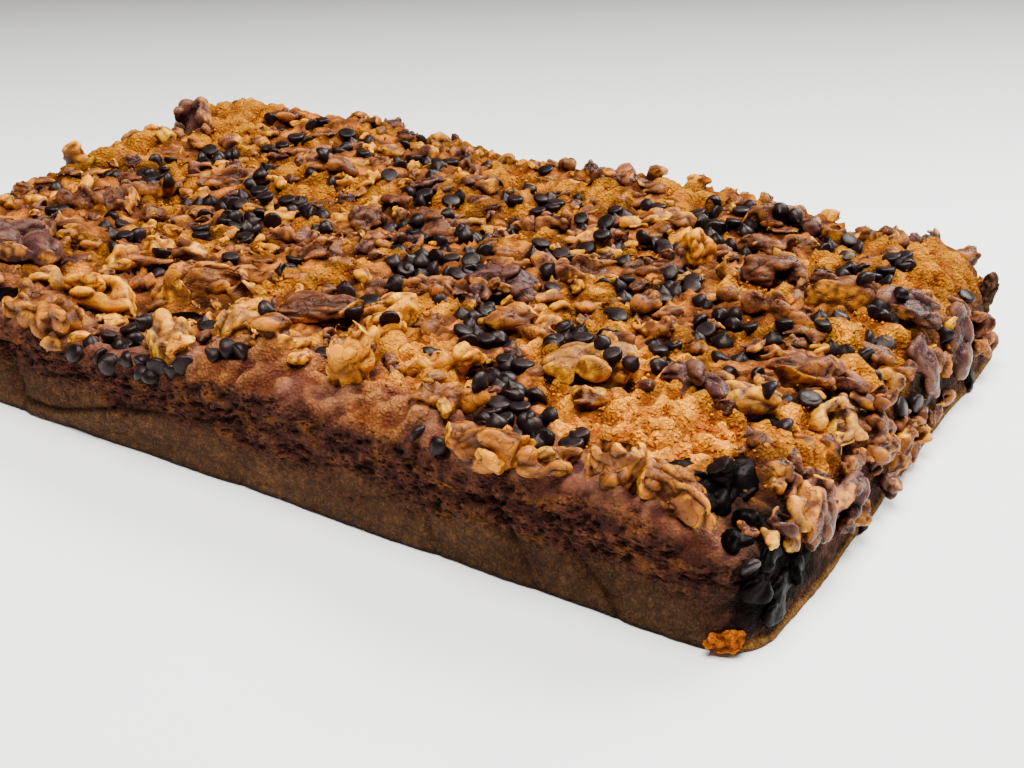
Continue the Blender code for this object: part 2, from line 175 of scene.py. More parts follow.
# Walnut pieces on the top: place along and across, length, width, height, turn
# of the length from +X in degrees, shape and skin
WALNUTS = (
    (-74, -113, 36, 16, 17, -10, "rod", "amber"),
    (-120, -87, 42, 26, 24, 35, "lump", "purple"),
    (-43, -70, 34, 18, 17, 35, "fan", "amber"),
    (-70, -91, 30, 17, 17, 20, "lump", "yellow"),
    (-22, -106, 34, 17, 17, -28, "rod", "cream"),
    (-6, -88, 29, 16, 15, -75, "hook", "cream"),
    (13, -70, 34, 20, 15, 35, "lump", "brown"),
    (53, -104, 16, 14, 31, 20, "cup", "yellow"),
    (22, -102, 22, 13, 15, 20, "lump", "amber"),
    (36, -60, 22, 11, 15, 62, "hook", "yellow"),
    (73, -85, 29, 12, 15, 48, "rod", "yellow"),
    (88, -103, 25, 13, 14, 30, "rod", "amber"),
    (109, -114, 30, 16, 16, 8, "lump", "amber"),
    (131, -114, 19, 12, 14, 20, "lump", "amber"),
    (150, -110, 20, 18, 25, -60, "cup", "amber"),
    (168, -110, 33, 18, 18, -20, "lump", "amber"),
    (114, -62, 32, 23, 19, 28, "lump", "cream"),
    (148, -53, 32, 19, 18, -48, "lump", "purple"),
    (166, -54, 18, 13, 15, 30, "block", "cream"),
    (143, 13, 36, 12, 14, 2, "rod", "tan"),
    (162, 35, 28, 15, 16, 28, "hook", "brown"),
    (134, 42, 26, 16, 16, 20, "lump", "brown"),
    (91, 30, 25, 15, 15, 30, "cup", "brown"),
    (68, 12, 36, 13, 13, 12, "rod", "tan"),
    (76, -40, 30, 20, 16, 25, "lump", "amber"),
    (52, -14, 28, 19, 15, 30, "lump", "purple"),
    (31, -34, 24, 12, 14, 32, "rod", "tan"),
    (103, 45, 16, 13, 23, 60, "block", "yellow"),
    (120, 66, 24, 13, 13, 20, "lump", "tan"),
    (172, -22, 26, 16, 14, 24, "lump", "pink"),
    (183, 42, 26, 18, 14, 40, "lump", "purple"),
    (-163, 64, 18, 14, 24, 60, "lump", "purple"),
    (-181, 8, 11, 10, 17, 0, "block", "amber"),
    (-128, -34, 33, 14, 15, 25, "rod", "brown"),
    (-128, -9, 34, 11, 13, 38, "rod", "brown"),
    (-101, 20, 33, 12, 13, 33, "rod", "tan"),
    (-41, -17, 24, 12, 13, 25, "rod", "pink"),
    (-27, 13, 19, 15, 15, 70, "lump", "brown"),
    (3, 22, 22, 15, 14, 30, "lump", "brown"),
    (-69, 44, 24, 13, 13, 30, "lump", "tan"),
    (-77, -63, 28, 11, 14, 48, "rod", "yellow"),
    (-20, -27, 22, 15, 14, 60, "lump", "tan"),
    (61, 40, 22, 15, 14, 30, "lump", "tan"),
    (37, 41, 24, 12, 13, 14, "rod", "tan"),
    (114, -14, 27, 14, 14, -40, "cup", "tan"),
    (40, 102, 28, 12, 10, 6, "rod", "brown"),
    (112, 92, 24, 14, 14, 20, "lump", "brown"),
    (-137, 96, 19, 11, 11, 15, "lump", "tan"),
)

# Walnut pieces on the sloping right end: place across, height above the base,
# length, width, height off the cake, turn, shape and skin
END_WALNUTS = (
    (-93, 36, 30, 17, 11, -20, "lump", "dark"),
    (-75, 25, 22, 19, 12, 70, "lump", "pink"),
    (-52, 17, 25, 14, 10, 20, "hook", "purple"),
    (-38, 35, 20, 16, 12, 10, "hook", "cream"),
    (-18, 25, 22, 14, 12, 60, "rod", "tan"),
    (-2, 12, 20, 12, 9, 60, "fan", "amber"),
    (27, 28, 24, 17, 12, 75, "lump", "purple"),
    (62, 24, 28, 17, 12, 65, "lump", "purple"),
)

# The large piece that dark chocolate has run over
COATED_KERNEL = "kernel_49"

# Patches of bare sponge: place along and across, radius
BARE_PATCHES = (
    (144, -82, 24),
    (182, 8, 14),
    (186, 84, 24),
    (-163, 96, 20),
    (-76, 40, 16),
    (-172, 30, 16),
    (18, -106, 15),
    (72, -106, 14),
    (-8, -48, 14),
    (132, 28, 11),
)

# Chocolate chips
CHIP_WIDTH = 7.2
CHIP_HEIGHT = 5.6
CHIP_MIDDLE = 0.4 * CHIP_HEIGHT

# How chips vary: shares of the width, the height and the depth, how far the tip
# leans, how uneven the outline is, and how light each is
CHIP_WIDTH_SHARES = (0.85, 1.12)
CHIP_HEIGHT_SHARES = (0.7, 1.1)
CHIP_DEPTH_SHARES = (0.88, 1.0)
CHIP_TIP_LEAN = 0.9
CHIP_UNEVENNESS = 0.05
CHIP_SHADES = (0.75, 1.35)

# How far chips are tilted, in radians: those that stand or are upside down, and
# those on their sides
CHIP_TILT = 0.5
CHIP_SIDE_TILTS = (1.1, 1.9)

# Chips where the photo's left edge cuts the cake off: how many are tried, and
# where that edge meets the front
HIDDEN_CHIPS = 50
PHOTO_EDGE_FRONT = -112

# How far from the edge the chips that aren't seen stay: between the seen ones, and
# where the photo ends
CHIP_MARGIN = 10
HIDDEN_MARGIN = 5

# Small walnut bits: sizes from the least to the largest, number, tries for each,
# how closely they may lie, and how far from the edge and from the front
BIT_SIZES = (5, 13)
BIT_COUNT = 290
BIT_TRIES = 40
BIT_CLOSENESS = 0.84
BIT_MARGIN = 5
BIT_FRONT_MARGIN = 12

# How much commoner small bits are than large ones, and the share of a bare patch's
# radius that they stay out of
BIT_SMALLNESS = 1.5
PATCH_CORE = 0.9

# How bits lie and vary: lift as a share of the size, tilts in radians, and shades
BIT_LIFT = 0.2
BIT_TILTS = (0.6, 0.4)
BIT_SHADES = (0.8, 1.15)

# The kinds that the bits are copies of
BIT_KINDS = 30
BIT_KIND_LENGTH = 12
BIT_KIND_SIDES = (7, 10)
BIT_SKINS = ("amber", "tan", "cream", "brown", "yellow", "pink", "brown", "tan", "amber", "purple")
BIT_SHAPES = ("lump", "rod", "block", "hook", "lump", "block")
DARK_SKINS = ("pink", "purple", "brown", "tan")

# Bits on the right end: number, places across, heights above the base and sizes
END_BITS = 22
END_BIT_PLACES = (-80, 104)
END_BIT_LEVELS = (9, 34)
END_BIT_SIZES = (6, 11)

# How near the middle of a large piece, as a share of its oval, a smaller piece of
# the photo still counts as a part of it
NUT_CLEARANCE = 0.7

# Forms of the smaller pieces, by whether they look long
LONG_SHAPES = ("rod", "hook", "rod", "lump")
ROUND_SHAPES = ("lump", "block", "lump", "hook")

# How the sponge rises round the foot of a topping, and sinks where they crowd
COLLAR_RISE = 1.8
CREVICE_DEPTH = 1.6
GAP_WIDTH = 2.4

# How light the golden crumb is at the near right corner and far from it
NEAR_GOLD = 1.2
FAR_GOLD = 0.62

# Painted shade: how light the lower front is at its near right end
NEAR_PAINTED_SHADE = 0.68

# Where dark chocolate is smeared over the near right corner, and how far it reaches
SMEAR_PLACE = (203, -98)
SMEAR_REACH = (33, 15)

# Loose crumbs, most of them on the bare patches
CRUMB_SIZES = (0.7, 2.0)
CRUMB_COUNT = 2200
CRUMB_PATCH_SHARE = 0.6
CRUMB_SPREAD = 0.6
CRUMB_MARGIN = 14
CRUMB_LIFTS = (0.2, 1.2)
CRUMB_FLATNESS = (0.6, 1)
CRUMB_UNEVENNESS = 0.25
CRUMB_PLACES = ((1, 0, 0), (-1, 0, 0), (0, 1, 0), (0, -1, 0), (0, 0, 1), (0, 0, -1))
CRUMB_FACES = ((0, 2, 4), (2, 1, 4), (1, 3, 4), (3, 0, 4), (2, 0, 5), (1, 2, 5), (3, 1, 5), (0, 3, 5))

# Torn crisp edges at the two right corners: centre, size, turn, dark and light tone
FLAKES = (
    ((191, -118.5, 5), (15, 8, 8.5), 32, ((128, 56, 14), (222, 132, 50))),
    ((195, 109, 24), (6, 14, 22), -35, ((56, 28, 20), (150, 100, 70))),
)

# The seeds of all random draws
SEEDS = {
    "chip places": 11, "chips": 12, "bit places": 23, "bits": 24, "end bits": 27,
    "nuts": 31, "knobs": 33, "melts": 35, "crumbs": 51, "flakes": 60,
    "bit kinds": 200, "nut forms": 300, "knob forms": 500, "melt forms": 700,
}

# Tones of the sponge as they look: the darker and the lighter end of each range
GOLDEN = ((206, 110, 32), (250, 180, 80))
BROWNED = ((124, 68, 40), (214, 138, 86))
CRUST = ((94, 52, 44), (176, 116, 104))
CRUST_FRONT = ((70, 32, 22), (140, 76, 54))
UPPER_WALL = ((88, 45, 32), (143, 81, 56))
LOWER_WALL = ((99, 65, 40), (144, 97, 63))
END_WALL = ((48, 26, 19), (128, 78, 54))
BURNT = ((13, 7, 6), (50, 29, 23))
LOOSE_CRUMB = ((170, 92, 34), (250, 176, 96))

# Single tones: painted shade between clods, between puffs, close to a topping and
# under it; and a warm tone of the crust
PAINTED_CRACK_SHADE = (150, 82, 20)
PAINTED_HOLLOW_SHADE = (96, 42, 12)
PAINTED_CONTACT_SHADE = (60, 26, 11)
PAINTED_CREVICE_SHADE = (44, 19, 9)
WARM_CRUST_TONE = (184, 106, 62)

# Single tones of the walls. The pit, foot and fold tones are painted shade: in the
# pits, along the foot where the wall meets the floor, and in the fold and creases.
WALL_GOLD_TONE = (172, 102, 52)
PAINTED_PIT_SHADE = (26, 11, 7)
WALL_SPOT_TONE = (88, 52, 30)
PAINTED_FOOT_SHADOW = (46, 25, 14)
PAINTED_FOLD_SHADE = (30, 15, 9)
RIM_TONE = (176, 126, 66)
CHIP_TONE = (29, 18, 15)

# What follows is read off the photo, as columns and rows of a picture of
# 1024 by 768. Each place is looked up on the sponge.

# Chocolate chips
SEEN_CHIPS = (
    (57, 186), (61, 192), (118, 175), (144, 169), (147, 180), (112, 216), (104, 223), (112, 231),
    (122, 226), (125, 235), (115, 245), (150, 170), (152, 182), (166, 166), (170, 160), (107, 332),
    (129, 326), (97, 349), (79, 354), (109, 364), (128, 351), (144, 356), (145, 372), (160, 362),
    (184, 362), (205, 324), (243, 346), (212, 350), (168, 180), (186, 202), (210, 200), (206, 213),
    (220, 206), (230, 215), (233, 202), (241, 203), (248, 217), (244, 222), (258, 227), (273, 219),
    (245, 235), (201, 230), (224, 222), (266, 195), (287, 198), (250, 173), (276, 170), (286, 170),
    (242, 192), (191, 161), (206, 162), (202, 156), (210, 147), (236, 152), (267, 148), (150, 214),
    (160, 249), (213, 260), (282, 269), (265, 311), (292, 208), (309, 206), (310, 213), (327, 227),
    (272, 120), (278, 129), (296, 137), (306, 139), (282, 143), (312, 122), (347, 133), (370, 138),
    (345, 146), (338, 152), (363, 153), (324, 154), (312, 161), (331, 162), (405, 142), (420, 139),
    (440, 138), (448, 143), (398, 166), (390, 173), (414, 159), (427, 159), (438, 162), (450, 164),
    (464, 160), (488, 163), (410, 180), (425, 190), (420, 197), (460, 189), (447, 212), (388, 223),
    (405, 223), (418, 222), (410, 232), (422, 237), (414, 231), (459, 231), (476, 236), (287, 268),
    (343, 282), (400, 250), (402, 266), (437, 243), (421, 258), (420, 268), (438, 256), (452, 260),
    (468, 250), (484, 250), (474, 238), (458, 274), (446, 270), (468, 268), (482, 267), (384, 278),
    (396, 285), (352, 312), (370, 300), (388, 316), (441, 300), (462, 312), (477, 314), (487, 308),
    (462, 332), (486, 341), (430, 352), (324, 352), (506, 361), (522, 366), (490, 372), (498, 381),
    (512, 386), (537, 392), (498, 404), (484, 422), (506, 420), (528, 420), (536, 436), (438, 434),
    (552, 343), (417, 418), (537, 164), (546, 172), (528, 187), (504, 195), (515, 197), (540, 197),
    (549, 192), (556, 202), (581, 195), (538, 210), (517, 217), (512, 228), (616, 209), (625, 211),
    (582, 225), (590, 231), (602, 230), (540, 242), (533, 253), (546, 250), (561, 253), (620, 244),
    (625, 257), (550, 268), (552, 278), (552, 288), (606, 284), (626, 291), (627, 279), (614, 314),
    (582, 327), (583, 339), (564, 328), (555, 343), (617, 331), (614, 347), (632, 350), (678, 288),
    (664, 287), (693, 286), (698, 298), (698, 316), (696, 335), (675, 345), (657, 350), (668, 363),
    (572, 444), (544, 434), (658, 207), (658, 234), (663, 244), (674, 248), (681, 257), (698, 210),
    (714, 207), (700, 218), (741, 210), (733, 222), (713, 226), (716, 236), (729, 243), (746, 226),
    (746, 237), (781, 211), (795, 216), (740, 276), (720, 313), (750, 328), (773, 334), (725, 334),
    (720, 358), (740, 354), (732, 372), (826, 324), (838, 318), (788, 396), (808, 398), (782, 424),
    (822, 247), (828, 255), (848, 241), (856, 246), (871, 256), (849, 266), (862, 267), (844, 276),
    (862, 277), (873, 276), (817, 268), (827, 272), (893, 258), (904, 257), (886, 270), (908, 262),
    (899, 288), (885, 293), (882, 306), (832, 343), (846, 346), (863, 341), (884, 340), (945, 334),
    (969, 301), (895, 408), (910, 402), (752, 554),
    (548, 416), (520, 400), (486, 390), (470, 322), (499, 318), (432, 266),
    (410, 258), (446, 250), (90, 338), (118, 345), (154, 374), (172, 370), (121, 358), (136, 338),
)

# Patches of bare crumb between the pieces: column, row and radius in millimetres
SEEN_BARE = (
    (205, 128, 13), (235, 135, 13), (265, 120, 12), (320, 183, 13), (300, 172, 10), (345, 190, 7),
    (178, 168, 8), (292, 113, 8), (381, 120, 8), (452, 202, 10), (168, 208, 7), (303, 229, 8),
    (500, 175, 11), (522, 182, 9), (556, 219, 9), (490, 150, 8), (700, 194, 9), (672, 190, 8),
    (738, 194, 8), (765, 216, 8), (352, 262, 6), (420, 312, 9), (405, 350, 10), (440, 305, 7),
    (540, 346, 8), (565, 392, 9), (640, 380, 12), (660, 420, 14), (615, 410, 10), (700, 430, 12),
    (925, 262, 13), (955, 268, 14), (940, 285, 11), (875, 325, 12), (862, 362, 9), (895, 340, 9),
    (810, 425, 10), (800, 448, 11), (825, 452, 8), (588, 365, 8), (600, 330, 7), (215, 365, 9),
    (300, 262, 6), (270, 290, 6), (610, 200, 5), (835, 262, 6), (30, 185, 8), (95, 160, 8),
)

# Where chips lie closely, more lie between the ones that stand out: how many have
# such a neighbour, and how far off it lies
CHIP_COMPANY = 0.62
CHIP_COMPANY_GAP = (4.6, 7.5)

# Melted chocolate: column, row, length and how high it looks in the picture
SEEN_MELTS = (
    (180, 313, 20, 10), (242, 284, 15, 6), (8, 286, 14, 11), (684, 462, 16, 8), (705, 458, 14, 9),
    (772, 420, 13, 5), (409, 180, 13, 4), (426, 190, 10, 8), (580, 289, 8, 4), (446, 163, 14, 5),
    (705, 214, 12, 7), (574, 332, 9, 7), (748, 508, 9, 14), (738, 530, 10, 12), (740, 484, 10, 9),
    (676, 466, 12, 6), (694, 474, 10, 7),
    (768, 556, 12, 8), (780, 586, 16, 10), (756, 590, 12, 9), (772, 612, 13, 9), (792, 566, 9, 12),
    (860, 525, 7, 8), (858, 492, 9, 12), (925, 398, 14, 6), (950, 408, 8, 12), (968, 380, 9, 9),
)

# How much of its height a puddle keeps as it runs out
MELT_FLATNESS = 0.5

# Walnut pieces of small and middle size: column, row, length, how high it looks
# in the picture in millimetres, and skin
SEEN_NUTS = (
    (35, 201, 13, 9, "yellow"), (105, 207, 30, 14, "brown"), (122, 192, 30, 9, "brown"),
    (172, 188, 9, 7, "pink"), (205, 192, 9, 8, "cream"), (130, 178, 12, 8, "tan"),
    (120, 265, 10, 7, "cream"), (150, 260, 18, 10, "pink"), (42, 272, 13, 11, "cream"),
    (76, 259, 12, 7, "brown"), (188, 250, 16, 12, "tan"), (225, 231, 10, 8, "yellow"),
    (147, 227, 8, 7, "yellow"), (173, 231, 8, 7, "yellow"), (190, 212, 10, 8, "tan"),
    (225, 250, 9, 7, "tan"), (241, 251, 9, 7, "tan"), (262, 240, 8, 6, "yellow"),
    (268, 249, 10, 7, "yellow"), (261, 206, 12, 9, "cream"), (207, 178, 24, 7, "tan"),
    (257, 181, 20, 6, "amber"), (8, 231, 9, 9, "cream"), (55, 345, 9, 7, "cream"),
    (165, 150, 16, 8, "amber"), (190, 143, 8, 5, "cream"), (222, 164, 10, 6, "yellow"),
    (203, 176, 7, 6, "cream"), (222, 176, 14, 7, "amber"), (245, 160, 8, 5, "tan"),
    (258, 131, 12, 7, "tan"), (256, 140, 8, 6, "pink"), (288, 143, 6, 5, "tan"),
    (300, 122, 9, 6, "yellow"), (322, 135, 14, 7, "tan"), (310, 150, 20, 8, "pink"),
    (333, 124, 10, 6, "amber"), (358, 122, 8, 6, "amber"), (384, 126, 14, 7, "amber"),
    (390, 149, 12, 8, "amber"), (415, 146, 8, 6, "yellow"), (355, 145, 6, 5, "tan"),
    (262, 203, 14, 8, "tan"), (282, 214, 14, 8, "yellow"), (322, 203, 12, 7, "tan"),
    (340, 178, 10, 9, "yellow"), (358, 183, 12, 7, "yellow"), (362, 163, 13, 7, "cream"),
    (330, 168, 9, 6, "tan"), (364, 193, 14, 6, "amber"), (342, 217, 9, 9, "yellow"),
    (367, 212, 14, 12, "brown"), (325, 221, 10, 6, "amber"), (290, 178, 9, 6, "brown"),
    (396, 202, 14, 12, "brown"), (432, 169, 16, 6, "cream"), (428, 182, 16, 7, "purple"),
    (461, 176, 8, 7, "yellow"), (443, 187, 10, 6, "purple"), (472, 182, 9, 7, "tan"),
    (447, 218, 18, 9, "cream"), (430, 214, 14, 7, "tan"), (463, 139, 14, 6, "amber"),
    (470, 148, 12, 5, "yellow"), (480, 200, 10, 8, "brown"), (490, 207, 9, 7, "brown"),
    (478, 220, 8, 6, "cream"), (492, 228, 10, 7, "cream"), (287, 237, 12, 6, "amber"),
    (302, 235, 10, 6, "pink"), (344, 233, 9, 6, "tan"), (357, 235, 9, 6, "tan"),
    (380, 238, 14, 7, "tan"), (455, 240, 16, 7, "tan"), (250, 209, 8, 6, "cream"),
    (180, 219, 9, 6, "brown"), (190, 230, 9, 6, "brown"), (298, 252, 16, 8, "brown"),
    (326, 255, 8, 11, "tan"), (345, 265, 9, 7, "tan"), (375, 243, 14, 8, "tan"),
    (560, 181, 24, 6, "cream"), (576, 169, 9, 8, "pink"), (561, 169, 7, 5, "tan"),
    (592, 181, 9, 7, "tan"), (532, 154, 13, 6, "brown"), (608, 177, 9, 9, "brown"),
    (628, 182, 13, 9, "brown"), (655, 190, 10, 9, "brown"), (667, 201, 8, 8, "yellow"),
    (640, 204, 9, 7, "tan"), (632, 195, 12, 7, "brown"), (590, 212, 10, 7, "tan"),
    (612, 222, 12, 6, "tan"), (633, 222, 12, 8, "yellow"), (655, 216, 16, 9, "amber"),
    (683, 221, 11, 12, "amber"), (668, 229, 8, 8, "brown"), (672, 212, 8, 7, "pink"),
    (753, 198, 8, 9, "amber"), (735, 202, 8, 6, "tan"), (790, 222, 14, 8, "brown"),
    (783, 231, 12, 6, "tan"), (812, 223, 9, 8, "brown"), (797, 242, 18, 8, "tan"),
    (755, 248, 9, 12, "amber"), (780, 253, 18, 7, "yellow"), (733, 256, 9, 7, "cream"),
    (720, 254, 10, 10, "brown"), (699, 246, 10, 14, "yellow"), (707, 260, 8, 7, "cream"),
    (640, 243, 13, 6, "yellow"), (655, 264, 20, 9, "brown"), (595, 244, 10, 8, "tan"),
    (606, 252, 13, 8, "cream"), (580, 254, 9, 7, "yellow"), (585, 268, 26, 8, "amber"),
    (570, 240, 12, 6, "yellow"), (541, 232, 7, 8, "yellow"), (528, 226, 14, 6, "tan"),
    (498, 232, 10, 7, "yellow"), (495, 244, 9, 6, "tan"), (515, 240, 9, 6, "yellow"),
    (503, 252, 12, 6, "tan"), (499, 262, 12, 7, "amber"), (520, 262, 9, 6, "amber"),
    (575, 206, 9, 8, "brown"), (560, 193, 9, 6, "tan"), (360, 331, 9, 7, "tan"),
    (365, 320, 10, 9, "cream"), (391, 326, 11, 12, "yellow"), (415, 322, 7, 7, "pink"),
    (390, 301, 10, 8, "amber"), (455, 292, 9, 6, "tan"), (428, 288, 21, 9, "tan"),
    (482, 291, 13, 10, "purple"), (510, 288, 7, 12, "brown"), (530, 287, 9, 10, "tan"),
    (497, 322, 13, 9, "amber"), (520, 318, 12, 13, "amber"), (546, 324, 11, 9, "yellow"),
    (517, 400, 7, 7, "tan"), (492, 391, 7, 6, "pink"), (647, 329, 9, 8, "yellow"),
    (647, 305, 12, 14, "tan"), (668, 312, 11, 9, "tan"), (680, 279, 20, 7, "cream"),
    (817, 301, 9, 7, "amber"), (797, 333, 10, 7, "brown"), (815, 335, 8, 8, "pink"),
    (820, 349, 8, 6, "yellow"), (723, 376, 8, 8, "amber"), (562, 365, 11, 9, "amber"),
    (795, 341, 9, 6, "tan"), (790, 352, 11, 6, "tan"), (812, 366, 12, 11, "pink"),
    (793, 376, 9, 9, "tan"), (845, 376, 17, 9, "pink"), (820, 386, 11, 6, "brown"),
    (862, 396, 11, 7, "pink"), (880, 392, 9, 13, "tan"), (846, 402, 12, 9, "tan"),
    (885, 368, 8, 8, "yellow"), (893, 380, 7, 9, "cream"), (905, 369, 8, 10, "tan"),
    (915, 308, 12, 9, "pink"), (908, 325, 10, 6, "tan"), (922, 350, 12, 9, "pink"),
    (938, 363, 9, 9, "amber"), (924, 378, 11, 10, "pink"), (943, 318, 7, 11, "yellow"),
    (958, 310, 13, 9, "pink"), (972, 322, 10, 13, "pink"), (955, 347, 10, 10, "purple"),
    (972, 348, 9, 11, "pink"), (958, 365, 11, 6, "tan"), (944, 396, 12, 6, "amber"),
    (930, 414, 13, 7, "tan"), (900, 420, 13, 8, "tan"), (845, 427, 13, 10, "cream"),
    (863, 432, 8, 6, "tan"), (881, 434, 11, 9, "tan"), (905, 452, 9, 9, "tan"),
    (913, 432, 9, 11, "yellow"), (846, 464, 13, 8, "tan"), (871, 458, 11, 8, "purple"),
    (878, 482, 9, 13, "purple"), (850, 518, 6, 10, "cream"), (838, 524, 7, 9, "brown"),
    (885, 497, 8, 6, "pink"), (895, 300, 10, 8, "brown"), (875, 352, 12, 9, "tan"),
    (835, 437, 10, 6, "yellow"), (803, 440, 9, 6, "amber"), (655, 236, 8, 6, "tan"),
    (700, 272, 11, 6, "tan"), (770, 272, 12, 8, "brown"), (605, 300, 13, 6, "amber"),
    (588, 308, 10, 7, "tan"), (640, 285, 8, 6, "brown"), (712, 298, 8, 6, "tan"),
    (715, 326, 8, 6, "tan"), (755, 345, 10, 7, "tan"), (770, 350, 9, 7, "amber"),
    (741, 389, 13, 8, "cream"), (340, 245, 10, 7, "tan"), (316, 243, 10, 7, "brown"),
    (222, 265, 12, 7, "tan"), (243, 270, 11, 6, "amber"), (262, 262, 9, 6, "tan"),
    (300, 278, 14, 7, "tan"), (322, 288, 12, 8, "brown"), (336, 300, 10, 7, "tan"),
    (130, 245, 10, 7, "tan"), (90, 240, 10, 7, "amber"), (70, 225, 12, 7, "tan"),
    (60, 210, 10, 6, "brown"), (25, 225, 10, 7, "tan"), (95, 170, 14, 6, "amber"),
    (70, 172, 12, 6, "tan"), (45, 182, 10, 5, "tan"), (110, 155, 16, 6, "amber"),
    (684, 521, 13, 7, "cream"),
)

# The depth of such a piece as a share of the smaller of its length and height, how
# many depths long a long one is, and how far each turns from the picture's level
NUT_DEPTH = 0.9
LONG_FROM = 1.6
SEEN_TURN = 25

# Rounded bright ends and tips of the large walnut pieces, in the same form
SEEN_KNOBS = (
    (80, 336, 8, 6, "yellow"), (97, 282, 12, 9, "yellow"), (112, 302, 10, 9, "yellow"),
    (180, 342, 11, 7, "yellow"), (299, 355, 9, 7, "yellow"), (470, 356, 9, 7, "yellow"),
    (492, 458, 11, 7, "yellow"), (392, 318, 7, 6, "yellow"), (350, 352, 5, 7, "yellow"),
    (434, 378, 8, 6, "cream"), (597, 360, 9, 7, "cream"), (582, 392, 9, 6, "cream"),
    (775, 482, 6, 7, "cream"), (788, 540, 8, 7, "cream"), (550, 455, 8, 6, "cream"),
    (495, 279, 5, 5, "amber"), (540, 308, 6, 6, "yellow"), (447, 406, 8, 6, "cream"),
)

# Where the camera stands, the way that it looks and its lens
CAMERA_PLACE = (322.1, -447.3, 267.0)
CAMERA_AZIMUTH = 31.5
CAMERA_PITCH = 27.49
FOCAL_PIXELS = 1545
FRAME_WIDTH = 1024
FRAME_HEIGHT = 768
SENSOR = 36

# The levels of the materials' gloss, and the tints of two of them
SPONGE_GLOSS = 0.05
WALNUT_GLOSS = 0.15
MELT_GLOSS = 0.03
CHIP_GLOSS = 0.18
WALNUT_TINT = (1.0, 0.8, 0.58, 1)
CHOCOLATE_TINT = (1.0, 0.8, 0.7, 1)

# How far the granules of the crumb are pushed about, in metres, and how many pores
# of the sides there are to the metre along, across and upward
GRANULE_SHIFT = 0.0022
PORE_SCALES = (430, 430, 820)

# The floor, in metres: its reach, how far under the base it lies, and the bend up
# into the backdrop
FLOOR_REACH = 4.0
FLOOR_GAP = 0.0002
FLOOR_BEND = 0.5
BEND_STEPS = 12

# How far behind the cake's middle the floor starts and stops to fade, in metres,
# and how bright it is at both; the fade is painted shade, darker far behind
BACKDROP_FADE = (0.12, 0.62)
BACKDROP_TONES = (0.93, 0.11)

# Lamps: name, place, place lit, size, power and tint, and the light of the room
LAMPS = (
    ("window", (0.56, 1.55, 1.45), (0.05, 0.05, 0), (1.4, 0.9), 108, (1.0, 0.99, 0.97)),
    ("ceiling", (0.12, -0.2, 1.2), (0, 0, 0), (0.8, 0.8), 46, (1.0, 0.98, 0.95)),
)
ROOM_TINT = (1.0, 0.99, 0.97)
ROOM_LIGHT = 0.13


def smoothstep(edge_low, edge_high, value):
    share = np.clip((value - edge_low) / (edge_high - edge_low), 0.0, 1.0)
    return share * share * (3.0 - 2.0 * share)


def mix(low, high, share):
    return low + (high - low) * share


def paint(red, green, blue):
    """The colour of a surface that looks as given, from 0 to 255, under the
    lamps of this scene: bright warm tones need more red and less blue."""
    screen = np.array((red, green, blue)) / 255
    plain = np.where(screen <= 0.04045, screen / 12.92, ((screen + 0.055) / 1.055) ** 2.4)
    bright = plain[0]
    gains = [always + growth * max(0, bright - level) for always, growth, level in (RED_NEED, GREEN_NEED)]
    most, fall, least = BLUE_NEED
    gains.append(max(least, most - fall * bright))
    return np.minimum(plain * np.array(gains) / TOP_LIGHT, PALEST)


def tinted(base, colour, share):
    """Colours with another laid over them, by a share at each place."""
    return mix(base, colour, share[:, None])


def toned(base, tone, share):
    """Colours with one tone laid over them, by a share at each place."""
    return tinted(base, paint(*tone), share)


def between(tones, share):
    """Colours from the darker to the lighter of two tones."""
    return tinted(paint(*tones[0]), paint(*tones[1]), share)


def shuffled(seed):
    """A generator and a shuffled order of 256 numbers, twice over."""
    draw = np.random.default_rng(seed)
    return draw, np.tile(draw.permutation(256), 2)


def cell_numbers(order, cell):
    """The number, from 0 to 255, that belongs to each cell of a grid."""
    at = cell & 255
    return order[order[order[at[:, 0]] + at[:, 1]] + at[:, 2]]


def wave(seed, points):
    """Smooth noise on an array of points, from about -1 to 1."""
    draw, order = shuffled(seed)
    ways = draw.normal(size=(256, 3))
    ways = ways / np.linalg.norm(ways, axis=1)[:, None]
    cell = np.floor(points).astype(int)
    inside = points - cell
    ease = inside ** 3 * (inside * (inside * 6 - 15) + 10)
    total = np.zeros(len(points))
    for corner in itertools.product((0, 1), repeat=3):
        way = ways[cell_numbers(order, cell + corner)]
        weight = np.where(np.array(corner) == 1, ease, 1 - ease).prod(axis=1)
        total += weight * (way * (inside - corner)).sum(axis=1)
    return total * 1.7


def billow(seed, points):
    """Puffy noise: 0 in its sharp furrows, about 1 on its crests."""
    return np.sqrt(np.abs(wave(seed, points)) / 0.9)


def cell_noise(seed, points):
    """The distance from each point to the nearest of scattered centres, one to a
    unit cube, and a number that belongs to that centre."""
    draw, order = shuffled(seed)
    centres = draw.random((256, 3))
    marks = draw.random(256)
    cell = np.floor(points).astype(int)
    nearest = np.full(len(points), np.inf)
    mark = np.zeros(len(points))
    for step in itertools.product((-1, 0, 1), repeat=3):
        number = cell_numbers(order, cell + step)
        far = np.linalg.norm(cell + step + centres[number] - points, axis=1)
        closer = far < nearest
        nearest[closer] = far[closer]
        mark[closer] = marks[number][closer]
    return nearest, mark


def edge_radius(x, y):
    """The radius of the top edge: tight along the front, wide at both ends."""
    behind_front = smoothstep(0, EDGE_BLEND, y + HALF_WIDTH)
    near_end = smoothstep(HALF_LENGTH - EDGE_BLEND, HALF_LENGTH, abs(x))
    return mix(mix(FRONT_EDGE, BACK_EDGE, behind_front), END_EDGE, near_end * behind_front)


def graded(start, stop, first, last):
    """Places from start to stop with gaps that grow evenly from first to last."""
    count = round(2 * (stop - start) / (first + last))
    share = np.linspace(0, 1, count + 1)
    bend = (last - first) / (last + first)
    return start + (stop - start) * (share * (1 - bend) + share * share * bend)


